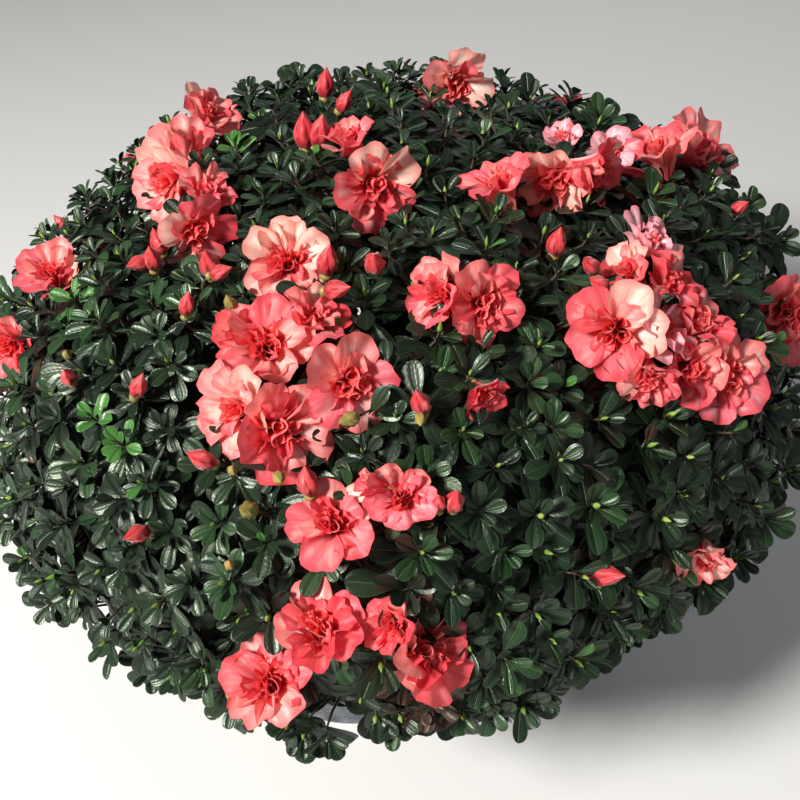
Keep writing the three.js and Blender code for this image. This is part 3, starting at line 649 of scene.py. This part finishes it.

# Petals by tone: throat, body, rim, patches, and the strength of the flash. Pale and cream are partly paler
# petals and partly lit copies, painted light; deep and heart are partly deeper red and partly shaded copies,
# painted shade.
PETAL_COLOURS = {
    "coral": ((0.74, 0.024, 0.05), (0.93, 0.14, 0.165), (0.86, 0.075, 0.1), (1.0, 0.5, 0.48), 0.45),
    "deep": ((0.56, 0.014, 0.034), (0.84, 0.075, 0.1), (0.78, 0.055, 0.075), (0.94, 0.24, 0.25), 0.25),
    "rose": ((0.7, 0.027, 0.06), (0.91, 0.15, 0.19), (0.82, 0.08, 0.11), (1.0, 0.54, 0.56), 0.55),
    "pale": ((0.88, 0.12, 0.12), (0.96, 0.3, 0.28), (0.92, 0.14, 0.15), (1.0, 0.74, 0.68), 0.85),
    "heart": ((0.5, 0.012, 0.025), (0.86, 0.085, 0.095), (0.97, 0.34, 0.31), (0.93, 0.22, 0.22), 0.2),
    "cream": ((0.9, 0.22, 0.17), (0.98, 0.56, 0.46), (0.94, 0.24, 0.22), (1.0, 0.9, 0.8), 1.0),
    "lilac": ((0.84, 0.14, 0.19), (0.95, 0.48, 0.53), (0.9, 0.24, 0.3), (0.98, 0.86, 0.9), 0.9),
}
PETALS = {tone: petal_material(tone, *colours) for tone, colours in PETAL_COLOURS.items()}


def plain_material(name, colour, other, scale, roughness, relief=0):
    """A surface that wanders between two colours, with a fine relief."""
    n = Nodes(name, roughness, 0.4)
    n.set("Base Color", n.mix(n.ramp(n.noise(n.where(), scale, 4), (0.35, 0), (0.65, 1)), colour, other))
    if relief:
        n.bump(n.noise(n.where(), scale * 4, 4), relief)
    return n.material


# The bud's deeper fold lines are painted shade, and its pale flash is partly painted highlight.
BUD_COLOURS = (0.2, 0.008, 0.012), (0.58, 0.032, 0.042), (0.8, 0.09, 0.1), (0.9, 0.22, 0.21)
BUD = petal_material("bud", *BUD_COLOURS, 0.3, 0.1, BUD_FOLDS)
SCALE = plain_material("bud_scale", (0.12, 0.16, 0.035), (0.33, 0.2, 0.06), 180, 0.42)
LEAF_BUD = plain_material("leaf_bud", (0.1, 0.21, 0.03), (0.25, 0.33, 0.07), 160, 0.4)
# The twigs are darker than the bark: partly painted shade of the crown's inside.
TWIG = plain_material("twig", (0.07, 0.04, 0.025), (0.035, 0.032, 0.016), 90, 0.8, 0.4 * MM)


def bark_material():
    """Grey-brown bark with long shallow cracks."""
    n = Nodes("bark", 0.88, 0.25)
    cracks = n.noise(n.scaled(n.where(), (1, 1, 0.22)), 160, 6, 0.62)
    flakes = n.noise(n.where(), 55)
    stops = (0.3, (0.045, 0.03, 0.02)), (0.52, (0.16, 0.11, 0.075)), (0.72, (0.27, 0.21, 0.16))
    colour = n.mix(n.ramp(flakes, (0.45, 0), (0.7, 0.6)), n.ramp(cracks, *stops), (0.2, 0.18, 0.14))
    n.set("Base Color", colour)
    n.bump(cracks, 1.4 * MM, 0.9)
    return n.material


def pot_material():
    """Soft dark plastic: a blue-grey bloom, thickest low down, partly dust and partly painted sheen, and a
    painted highlight along its foot edge.
    """
    n = Nodes("pot_plastic", 0.6, 0.4)
    place = n.where()
    height = n.node("SeparateXYZ", {0: place})[2]
    blotch = n.noise(n.scaled(place, (1, 1, 0.6)), 34, 6, 0.66)
    streak = n.noise(n.scaled(place, (1, 1, 0.08)), 60, 4, 0.55)
    speck = n.noise(place, 420, 2)
    low = n.ramp(n.math("DIVIDE", height, POT_HEIGHT), (0, 0.5), (0.2, 0.32), (1, 0.14))
    # The blue-grey bloom and its streaks: partly dust, partly painted sheen of the plastic.
    dust_and_sheen = n.times(n.ramp(blotch, (0.34, 0), (0.66, 1)), low)
    dust_and_sheen = n.math("ADD", dust_and_sheen, n.times(n.ramp(streak, (0.5, 0), (0.75, 0.3)), low), clamp=True)
    colour = n.mix(dust_and_sheen, (0.02, 0.024, 0.029), (0.3, 0.33, 0.37))
    colour = n.mix(n.ramp(speck, (0.62, 0), (0.72, 0.5)), colour, (0.36, 0.37, 0.38))
    # Painted highlight: a lighter band along the foot edge.
    edge = n.ramp(n.math("DIVIDE", height, 6 * MM), (0, 0.9), (0.5, 0.6), (1, 0))
    n.set("Base Color", n.mix(edge, colour, (0.42, 0.44, 0.46)))
    n.set("Roughness", n.ramp(dust_and_sheen, (0, 0.46), (0.6, 0.85)))
    n.bump(n.noise(place, 900, 2), 0.15 * MM, 0.5)
    return n.material


def soil_material():
    """Dark, crumbly, peaty mix."""
    n = Nodes("potting_mix", 0.95, 0.2)
    crumbs = n.noise(n.where(), 170, 6, 0.65)
    stops = (0.32, (0.012, 0.008, 0.006)), (0.52, (0.05, 0.033, 0.022)), (0.75, (0.13, 0.09, 0.06))
    n.set("Base Color", n.ramp(crumbs, *stops))
    n.bump(crumbs, 2.5 * MM, 0.9)
    return n.material


BARK = bark_material()
POT = pot_material()
SOIL = soil_material()
CHIP = plain_material("bark_chip", (0.16, 0.1, 0.06), (0.06, 0.04, 0.028), 120, 0.9, 0.5 * MM)

# Pot and potting mix


def pot_radius_at(height):
    return POT_BASE_RADIUS + (POT_RIM_RADIUS - POT_BASE_RADIUS) * height / POT_HEIGHT


def turned(profile, sides):
    """Points and triangles of a profile turned round the pot's axis."""
    out, height = np.array(profile).T[..., None]
    turn = turns(sides)
    points = np.stack(np.broadcast_arrays(out * np.cos(turn), out * np.sin(turn), height), -1)
    return points, grid_faces(len(profile), sides, True)


def make_pot():
    r, base, top, out, wall = pot_radius_at, POT_BASE_RADIUS, POT_HEIGHT, LIP_STANDS_OUT, POT_WALL
    lip = top - LIP_DEPTH
    profile = [
        (0.5 * MM, 0), (base * 0.55, 0), (base - 4 * MM, 0), (base - 1 * MM, 0.4 * MM),
        (base + 0.4 * MM, 1.6 * MM), (r(7.5 * MM) + 1 * MM, 7 * MM), (r(8 * MM) + 0.7 * MM, 8.4 * MM),
        (r(10 * MM) - 1 * MM, 9.8 * MM), (r(14 * MM) - 0.6 * MM, 13 * MM),
        *((r(height), height) for height in (60 * MM, 120 * MM, 180 * MM, lip - 2 * MM)),
        (r(lip) + 0.6 * MM, lip - 0.4 * MM), (r(lip) + out - 1 * MM, lip), (r(lip) + out, lip + 1.2 * MM),
        (r(top) + out, top - 2 * MM), (r(top) + out - 0.6 * MM, top - 0.6 * MM),
        (r(top) + out - 1.8 * MM, top), (r(top) - wall + 1 * MM, top), (r(top) - wall, top - 1 * MM),
        *((r(height) - wall, height) for height in (lip, top / 2, POT_FLOOR)), (0.5 * MM, POT_FLOOR),
    ]
    batch = Batch()
    points, faces = turned(profile, 120)
    # Soft plastic is never quite round: the rim is pressed in a little here and there
    turn, away = np.arctan2(points[..., 1], points[..., 0]), np.hypot(points[..., 0], points[..., 1])
    give = 1 * MM * (np.sin(2 * turn + 0.6) + 0.5 * np.sin(5 * turn)) - 1.4 * MM
    scale = 1 + give * (points[..., 2] / top) ** 2 / away
    points[..., :2] *= np.where(away > base * 0.9, scale, 1)[..., None]
    batch.add(points, faces)
    batch.build("pot_shell", POT, "pot_plastic", ["pot"])


def make_soil():
    inner = pot_radius_at(SOIL_LEVEL) - POT_WALL - 3 * MM
    batch = Batch()
    rings = np.linspace(1, 0.01, 46)
    profile = [(pot_radius_at(POT_FLOOR + 1 * MM) - POT_WALL - 1 * MM, POT_FLOOR + 1 * MM)]
    profile += [(inner * ring, SOIL_LEVEL - 6 * MM * ring**4) for ring in rings]
    points, faces = turned(profile, 140)
    x, y = points[..., 0] / MM, points[..., 1] / MM
    lumps = np.sin(x * 0.31 + 1.3 * np.sin(y * 0.17)) * np.sin(y * 0.37 + 1.1 * np.sin(x * 0.21))
    lumps = lumps + 0.6 * np.sin(x * 0.83 + y * 0.4) * np.sin(y * 0.9 - x * 0.33)
    points[1:, :, 2] += (lumps[1:] - 1.2) * 1.5 * MM
    batch.add(points, faces)
    batch.build("potting_mix_top", SOIL, "potting_mix", ["soil"])
    chips = Batch()
    chance = Chance(41)
    for _ in range(260):
        turn, out = chance(0, 2 * math.pi), inner * 0.97 * math.sqrt(chance(0.04, 1))
        height = SOIL_LEVEL - 2.5 * MM - 5 * MM * (out / inner) ** 4
        spot = np.array([out * math.cos(turn), out * math.sin(turn), height])
        lying = unit(np.array([chance(-1, 1), chance(-1, 1), chance(-0.25, 0.25)]))
        add_spindle(chips, spot, lying, chance(5, 13) * MM, chance(1.6, 3.4) * MM, 5, 4)
    chips.build("bark_chips", CHIP, "potting_mix", ["soil"])


# Stem and boughs


def add_limb(batch, curve, radius_at, steps, sides, seed, flat_foot=None):
    """A limb with the relief of its bark: long shallow ridges that wander, and a few knots."""
    chance = Chance(seed)
    t = np.linspace(0, 1, steps + 1)
    line = bezier(*curve, t)
    turn = turns(sides)
    phases = [chance(*ANY_TURN) for _ in range(5)]
    grow = t[:, None]
    waves = ((0.05, 5, 4), (0.035, 9, -7), (0.03, 2, 31), (0.02, 14, 23))
    relief = 0
    for (depth, across, along), phase in zip(waves, phases):
        relief = relief + depth * np.sin(across * turn + along * grow + phase)
    for place, at in [(chance(0.2, 0.9), chance(*ANY_TURN)) for _ in range(3)]:
        away = ((grow - place) * steps / 2.2) ** 2 + (np.mod(turn - at, 6.283) - 3.14) ** 2 / 0.5
        relief = relief + 0.22 * np.exp(-away)
    radius = radius_at(t)[:, None] * (1 + relief)
    points = round_line(line, unit(np.gradient(line, axis=0)), radius, sides)
    if flat_foot is not None:
        points[0, :, 2] = flat_foot
        points[..., 2] = np.maximum(points[..., 2], flat_foot)
    cap = np.mean(points[-1], axis=0, keepdims=True)
    last = steps * sides + np.arange(sides)
    tip = np.stack([last, np.roll(last, -1), np.full(sides, (steps + 1) * sides)], 1)
    faces = np.concatenate([grid_faces(steps + 1, sides, True), tip])
    batch.add(np.concatenate([points.reshape(-1, 3), cap]), faces)


def stem_radius(t):
    flare = (STEM_FOOT_RADIUS - STEM_RADIUS) * np.exp(-t * FLARE_FADES)
    return flare + STEM_RADIUS + (STEM_TOP_RADIUS - STEM_RADIUS) * t


def bough_radius(t):
    return BOUGH_RADIUS + (BOUGH_TIP_RADIUS - BOUGH_RADIUS) * t


HEARTS = {name: crown_point(angle, down, MASS_HEART) for name, (angle, down) in MASSES.items()}
HEART_POINTS = np.stack(list(HEARTS.values()))


def bough_curve(name):
    order, down = list(MASSES).index(name), MASSES[name][1]
    whorl = 2 if down < HIGH_ABOVE else order % 2
    start = STEM_TOP + UP * 0.3 * MM if order == 0 else bezier(STEM_FOOT, STEM_BEND, STEM_TOP, WHORLS[whorl])
    arrival = unit(unit(HEARTS[name] - start) + UP * BOUGH_RISE)
    end = HEARTS[name] - arrival * MASS_STEM
    return start, end - arrival * norm(end - start) * 0.5, end


def make_limbs():
    stem = Batch()
    add_limb(stem, (STEM_FOOT, STEM_BEND, STEM_TOP), stem_radius, 44, 30, 5, STEM_FOOT[2])
    stem.build("stem_bark", BARK, "bark", ["main_stem"])
    for seed, name in enumerate(MASSES, 11):
        bough = Batch()
        add_limb(bough, bough_curve(name), bough_radius, 30, 14, seed)
        bough.build("bark_of_" + name, BARK, "bark", ["bough_" + name])


# Growth


def nearest(point, points):
    return int(np.argmin(norm(points - point, axis=1)))


def near_pot(point):
    out = math.hypot(point[0], point[1])
    return point[2] < POT_HEIGHT + POT_ROOM and out < POT_RIM_RADIUS + LIP_STANDS_OUT + POT_ROOM


def seen_near(point, places):
    across, down = in_view(point)
    return any(math.hypot(across - x, down - y) < radius for x, y, radius in places)


# The rings of petals of each form of flower: how many petals, and their reach as a share of the flower's
# radius, angles from the axis at foot and rim, how late they open, half width in degrees, and lift
RINGS = {
    "open": [(5, 1, 12, 88, 0.8, 45, 0), (4, 0.66, 8, 62, 0.9, 40, 0.04), (3, 0.44, 5, 46, 1, 44, 0)],
    "double": [(5, 1, 12, 84, 0.95, 44, 0), (6, 0.78, 8, 64, 1, 38, 0.06), (5, 0.5, 5, 50, 1.1, 40, 0.04)],
    "cup": [(5, 1, 12, 66, 0.9, 45, 0), (5, 0.74, 8, 54, 1, 42, 0.02), (4, 0.45, 5, 44, 1.1, 46, -0.04)],
    "trumpet": [(5, 1, 8, 84, 1.7, 41, 0), (5, 0.62, 6, 52, 1.5, 40, 0.06), (3, 0.36, 4, 36, 1.3, 50, 0.05)],
    "tulip": [(4, 0.5, 16, 24, 1, 58, 0), (3, 0.36, 12, 12, 1, 62, -0.06)],
}


class Flower:
    def __init__(self, point, axis, width, form, tone, painted_lit_side=None):
        self.point, self.axis, self.radius = point, axis, width / 2
        self.form, self.tone, self.painted_lit_side = form, tone, painted_lit_side
        _, reach, foot, rim, late, *_ = RINGS[form][0]
        _, out, up = opening(foot, rim, late)
        self.foot = point - axis * (reach * self.radius * up[-1] / out[-1])


class Bud:
    def __init__(self, point, axis, length, green):
        self.point, self.axis, self.length, self.green = point, axis, length, green
        self.foot = point - axis * length * 0.5


def place_flowers():
    chance = Chance(23)
    flowers = []
    for across, down, width, lean, towards, form, tone, pale in SEEN_FLOWERS:
        point = seen_on_crown(across, down)
        outward = outward_at(point)
        stands = FLOWER_ABOVE_SKIN + SIDEWAYS_FLOWER_STANDS * np.clip((lean - 50) / 15, 0, 1)
        point = point + outward * (stands - FLOWER_SUNK_ON_TOP * outward[2] ** 4)
        axis, painted_lit_side = leaning(point, lean, towards), swung(pale, VIEW_RIGHT, VIEW_UP)
        flowers.append(Flower(point, axis, width * MM, form, tone, painted_lit_side))
    for angle, down in HIDDEN_FLOWERS:
        point = crown_point(angle, down)
        outward = outward_at(point)
        sideways = np.array([chance(-0.45, 0.45), chance(-0.45, 0.45), 0.0])
        axis = unit(outward + UP * chance(0.3, 1.0) + sideways)
        form = ("open", "double", "cup", "double", "trumpet")[int(chance(0, 5))]
        tone = ("coral", "coral", "rose", "pale", "deep")[int(chance(0, 5))]
        flowers.append(Flower(point + outward * HIDDEN_FLOWER_STANDS, axis, chance(58, 72) * MM, form, tone))
    buds = []
    for across, down, length, lean, towards in SEEN_BUDS + GREEN_BUDS:
        point = seen_on_crown(across, down)
        point = point + outward_at(point) * BUD_ABOVE_SKIN
        buds.append(Bud(point, leaning(point, lean, towards), length * MM, len(buds) >= len(SEEN_BUDS)))
    for angle, down in HIDDEN_BUDS:
        point = crown_point(angle, down)
        axis = unit(outward_at(point) + UP * 1.1)
        buds.append(Bud(point + axis * BUD_ABOVE_SKIN, axis, chance(20, 30) * MM, False))
    return flowers, buds


def place_shoots(count, below, uneven, start, chance, flowers, buds):
    """Shoots lie evenly over the skin by the golden angle. Before a flower's face they sink, or make room."""
    places = np.array([flower.point + flower.axis * flower.radius * FACE_CLEAR for flower in flowers])
    radii = np.array([flower.radius for flower in flowers])
    bud_places = np.array([bud.point for bud in buds])
    shoots = []
    for i, down in enumerate(even_levels(count)):
        angle = start + i * GOLDEN_ANGLE + chance(-2.5, 2.5)
        skin = crown_point(angle, down + chance(-1, 1))
        outward = outward_at(skin)
        depth = below + uneven * chance()
        point = skin - outward * depth
        gaps = norm(places - point, axis=1) / radii
        if np.min(gaps) < FACE_ROOM:
            continue
        if np.min(gaps) < FACE_EDGE:
            point = point - outward * SUNK_SHOOT
        if np.min(norm(bud_places - point, axis=1)) < BUD_ROOM:
            continue
        if near_pot(point) or seen_near(point, CLEARINGS):
            continue
        turn_up = SHOOTS_TURN_UP + LOW_SHOOTS_TURN_UP * max(0, -outward[2])
        axis = unit(outward + UP * turn_up + np.array([chance(-0.2, 0.2), chance(-0.2, 0.2), 0]))
        shoots.append((point, axis))
    return shoots


def grow_rosette(batches, buds, point, axis, leaves, size, old, chance, last=1.0):
    """One shoot's leaves, by the golden angle: the lowest lie flat, the last are small and upright.

    With `last` under 1 the upright ones are left out, and a flower or its bud stands there instead.
    """
    side, other = around(axis)
    first = chance(0, 360)
    kind = chance()
    tip = "green" if kind < 0.26 else "mid" if kind < 0.7 else "dark"
    low = "dark" if chance() < 0.62 else "mid"
    young = not old and (seen_near(point, YOUNG_PLACES) or chance() < 0.003)
    bronze = not old and seen_near(point, BRONZE_PLACES)
    for k in range(leaves):
        share = last * k / (leaves - 1)
        out = swung(first + k * GOLDEN_ANGLE + chance(-10, 10), side, other)
        spread = 104 - 72 * share**1.3 + chance(-11, 11)
        along, face = swung(spread, axis, out), swung(spread - 90, axis, out)
        roll = chance(-0.35, 0.35)
        face = unit(face * math.cos(roll) + np.cross(along, face) * math.sin(roll))
        length = size * (1.08 - 0.6 * share**1.7) * chance(0.82, 1.14)
        width = length * LEAF_WIDTH_SHARE * chance(0.88, 1.12)
        base = point - axis * (1 - share) * size * (0.9 if old else 0.75) + out * 0.8 * MM
        tone = tip if share > 0.5 and not old else low
        if (young and share > 0.5) or (share > 0.8 and chance() < 0.025):
            tone = "young"
        elif (bronze and share > 0.3) or chance() < 0.006:
            tone = "bronze"
        places = [base + along * length * part for part in (0.3, 0.65, 1)]
        if near_pot(places[-1]) or any(seen_near(place, CLEARINGS) for place in places):
            continue
        droop = chance(0.02, 0.26)
        add_leaf(batches[tone], base, along, face, length, width, droop, chance(0.08, 0.42), chance)
    if last == 1 and not old and chance() < 0.62:
        length, radius = size * chance(0.22, 0.38), size * chance(0.042, 0.06)
        add_spindle(buds, point - axis * 1 * MM, axis, length, radius, 6, 6)


def grow_twigs(twigs, shoots, stalks):
    """From each heart a few branches, from each branch a few sprays, and from the nearest spray each twig."""
    ends = [point for point, _ in shoots] + [one.foot for one in stalks]
    owners = np.array([nearest(end, HEART_POINTS) for end in ends])
    chance = Chance(91)
    for owner, (name, heart) in enumerate(HEARTS.items()):
        own = np.flatnonzero(owners == owner)
        tips = [i for i in own if i < len(shoots)]
        every = max(1, len(tips) // BRANCHES_PER_MASS)
        start, bend, end = bough_curve(name)
        add_tube(twigs, end, (end + heart) / 2, heart, BOUGH_TIP_RADIUS, 3.2 * MM, 3, 7)
        forks = np.array([heart + (ends[i] - heart) * BRANCH_SHARE for i in tips[::every]])
        for fork in forks:
            add_tube(twigs, heart, heart * 0.5 + fork * 0.5 + UP * 4 * MM, fork, 3.0 * MM, 2.2 * MM, 4, 6)
        sprays = []
        for i in tips[:: max(1, every // SPRAYS_PER_BRANCH)]:
            fork = forks[nearest(ends[i], forks)]
            spray = fork + (ends[i] - fork) * SPRAY_SHARE
            wander = np.array([chance(-1, 1), chance(-1, 1), chance(-1, 1)]) * 5 * MM
            add_tube(twigs, fork, (fork + spray) / 2 + wander, spray, 1.9 * MM, 1.4 * MM, 4, 5)
            sprays.append(spray)
        sprays = np.array(sprays)
        for i in own:
            axis = shoots[i][1] if i < len(shoots) else stalks[i - len(shoots)].axis
            root = sprays[nearest(ends[i], sprays)]
            way = norm(ends[i] - root)
            add_tube(twigs, root, ends[i] - axis * way * 0.45, ends[i], 1.25 * MM, 0.85 * MM, 4, 5)


# Steps of tone: a lighter step is painted light on lit petals, and a deeper step is partly painted shade on
# petals deep in the bloom.
DEEPER = dict(cream="coral", pale="coral", coral="deep", rose="deep", lilac="rose", deep="deep")
LIGHTER = dict(coral="pale", rose="pale", pale="cream", cream="cream", lilac="lilac", deep="coral")
HEART_LIFT = dict(open=0.12, double=0.08, cup=0, trumpet=0.04)


def grow_flower(petals, flower, chance):
    """A double bloom: rings of waved lobes, each smaller than the last, round a knot of curled petals."""
    radius = flower.radius
    side, other = around(flower.axis)
    start = chance(0, 72)
    for ring, (count, reach, foot, rim, late, half, lift) in enumerate(RINGS[flower.form]):
        grid = ((11, 15), (9, 11), (8, 8))[ring]
        start += 180 / count
        for lobe in range(count):
            turn = start + lobe * 360 / count + chance(-7, 7) * (1 + ring)
            out, tone = swung(turn, side, other), flower.tone
            # Lobes towards the lit side take a lighter tone, painted light; others at random take a lighter
            # or a deeper tone, partly painted light and shade.
            if flower.painted_lit_side is not None and out @ flower.painted_lit_side > (0.5, 0.75, 2)[ring]:
                tone = LIGHTER[LIGHTER[tone]] if ring == 0 and chance() < 0.3 else LIGHTER[tone]
            elif chance() < (0.16, 0.24, 0.12)[ring]:
                tone = LIGHTER[tone]
            elif chance() < (0.08, 0.2, 0.6)[ring]:
                tone = DEEPER[tone]
            petal = dict(
                grid=grid, reach=radius * reach * chance(0.9, 1.06), foot_radius=(2.4, 1.8, 1.2)[ring] * MM,
                foot=foot, rim=rim + chance(-16, 16), late=late * chance(0.85, 1.2),
                lift=radius * (lift + chance(-0.08, 0.08)), half=half + chance(-4, 3),
                rounding=chance(0.24, 0.35), notch=chance(0, 0.07), crinkle=0.02 + 0.008 * ring,
                ruffle=radius * (chance(0.1, 0.17), chance(0.14, 0.24), chance(0.12, 0.22))[ring],
                cup=chance(-0.16, 0.12), fold=chance(-0.1, 0.16), twist=chance(-0.02, 0.1),
            )
            add_petal(petals[tone], flower.point, flower.axis, turn, chance, **petal)
    if flower.form == "tulip":
        return
    # The inner petals and the heart's curls are mostly a deeper tone: partly their own deeper red, partly
    # painted shade.
    for _ in range(4):
        tone = DEEPER[flower.tone] if chance() < 0.6 else flower.tone
        petal = dict(
            grid=(7, 8), reach=radius * chance(0.2, 0.36), foot_radius=chance(0.6, 2.6) * MM,
            foot=chance(0, 10), rim=chance(20, 58), late=chance(0.8, 1.6), lift=radius * chance(-0.2, 0.0),
            half=chance(45, 75), rounding=chance(0.14, 0.3), notch=chance(0, 0.08), crinkle=0.02,
            ruffle=radius * chance(0.05, 0.12), cup=chance(0, 0.4), fold=chance(-0.1, 0.2),
            twist=chance(-0.1, 0.1),
        )
        add_petal(petals[tone], flower.point, flower.axis, chance(0, 360), chance, **petal)
    knots = int(chance(5, 8))
    first = chance(0, 360)
    for knot in range(knots):
        aside = swung(first + knot * 360 / knots + chance(-25, 25), side, other) * radius * chance(0.1, 0.26)
        top = flower.point + aside + flower.axis * radius * (HEART_LIFT[flower.form] + chance(-0.1, 0.04))
        lean = unit(flower.axis + aside / radius * chance(0.5, 2.5))
        tone = "heart" if chance() < 0.8 else flower.tone
        width, height, wrap = radius * chance(0.13, 0.21), radius * 0.46, chance(330, 560)
        add_curl(petals[tone], top, lean, width, height, wrap, chance)


def grow_plant():
    leaves = {tone: Batch() for tone in LEAF_TONES}
    inside = {tone: Batch() for tone in LEAF_TONES}
    petals = {tone: Batch() for tone in PETALS}
    leaf_buds, rolled, scales, twigs = Batch(), Batch(), Batch(), Batch()
    flowers, buds = place_flowers()
    chance = Chance(7)
    layers = [place_shoots(*layer[:4], chance, flowers, buds) for layer in LAYERS]
    for across, down, towards in SEEN_SPRIGS:
        point = seen_on_crown(across, down)
        layers[0].append((point, leaning(point, SPRIG_LEAN, towards)))
    for shoots, (*_, count, gain) in zip(layers, LAYERS):
        old = shoots is not layers[0]
        for point, axis in shoots:
            across, down = np.clip((in_view(point) - LEAF_GAIN_FROM) / LEAF_GAIN_OVER, 0, 1)
            size = (LEAF_LENGTH + LEAF_LENGTH_GAIN * (across + down) / 2) * chance(0.85, 1.2) * gain
            grow_rosette(inside if old else leaves, leaf_buds, point, axis, count, size, old, chance)
    for one in flowers + buds:
        size = LEAF_LENGTH * chance(1.0, 1.2)
        axis = unit(one.axis + outward_at(one.foot))
        grow_rosette(leaves, leaf_buds, one.foot, axis, LEAVES_UNDER_FLOWER, size, False, chance, 0.4)
    chance = Chance(BLOOM_SEED)
    for flower in flowers:
        grow_flower(petals, flower, chance)
        add_spindle(scales, flower.foot - flower.axis * 4 * MM, flower.axis, 9 * MM, 2.6 * MM, 7, 4)
    for bud in buds:
        radius = bud.length * (0.275 if bud.green else 0.25)
        add_rolled_bud(scales if bud.green else rolled, bud.foot, bud.axis, bud.length, radius, chance)
        if not bud.green:
            base = bud.foot - bud.axis * 3 * MM
            add_spindle(scales, base, bud.axis, bud.length * 0.36, radius * 0.72, 7, 5)
    grow_twigs(twigs, sum(layers, []), flowers + buds)
    for tone, material in LEAF_TONES.items():
        leaves[tone].build("leaves_" + tone, material, mapped=True)
        if inside[tone].count:
            inside[tone].build("inner_leaves_" + tone, material, mapped=True)
    for tone, material in PETALS.items():
        petals[tone].build("petals_" + tone, material, mapped=True)
    leaf_buds.build("leaf_buds", LEAF_BUD)
    rolled.build("flower_buds", BUD, mapped=True)
    scales.build("bud_scales", SCALE)
    twigs.build("twigs", TWIG)


make_pot()
make_soil()
make_limbs()
grow_plant()

# Stage, light and camera

LIGHTS_AIM = (0.05, 0, 0.4)
FLOOR_REACH = 6


def make_floor():
    mesh = bpy.data.meshes.new("floor")
    corners = [(x * FLOOR_REACH, y * FLOOR_REACH, 0) for x, y in ((-1, -1), (1, -1), (1, 1), (-1, 1))]
    mesh.from_pydata(corners, [], [(0, 1, 2, 3)])
    floor = new_object("floor", mesh)
    n = Nodes("floor", 0.85, 0.2)
    n.set("Base Color", (0.6, 0.6, 0.59))
    mesh.materials.append(n.material)


def make_light(name, place, size, power, colour):
    lamp = bpy.data.lights.new(name, "AREA")
    lamp.shape = "DISK"
    lamp.size = size
    lamp.energy = power
    lamp.color = colour
    holder = new_object(name, lamp)
    holder.location = place
    holder.rotation_euler = (Vector(LIGHTS_AIM) - Vector(place)).to_track_quat("-Z", "Y").to_euler()


make_floor()
make_light("key", (-1.75, -1.5, 2.45), 0.7, 215, (1.0, 0.97, 0.93))
make_light("fill", (2.2, -1.4, 2.2), 2.4, 7, (0.93, 0.96, 1.0))
make_light("back", (1.3, 2.6, 2.4), 2.0, 20, (0.96, 0.98, 1.0))

world = bpy.data.worlds.new("studio")
world.use_nodes = True
sky = world.node_tree.nodes["Background"].inputs
sky["Color"].default_value = (0.96, 0.98, 1.0, 1)
sky["Strength"].default_value = 0.14
bpy.context.scene.world = world
bpy.context.scene.view_settings.view_transform = "Standard"

camera = new_object("camera", bpy.data.cameras.new("camera"))
camera.data.sensor_width = SENSOR
camera.data.lens = VIEW_FOCAL / VIEW_FRAME * SENSOR
turned_to = Matrix((VIEW_RIGHT, VIEW_UP, -AHEAD)).transposed().to_4x4()
camera.matrix_world = Matrix.Translation(Vector(EYE)) @ turned_to
bpy.context.scene.camera = camera
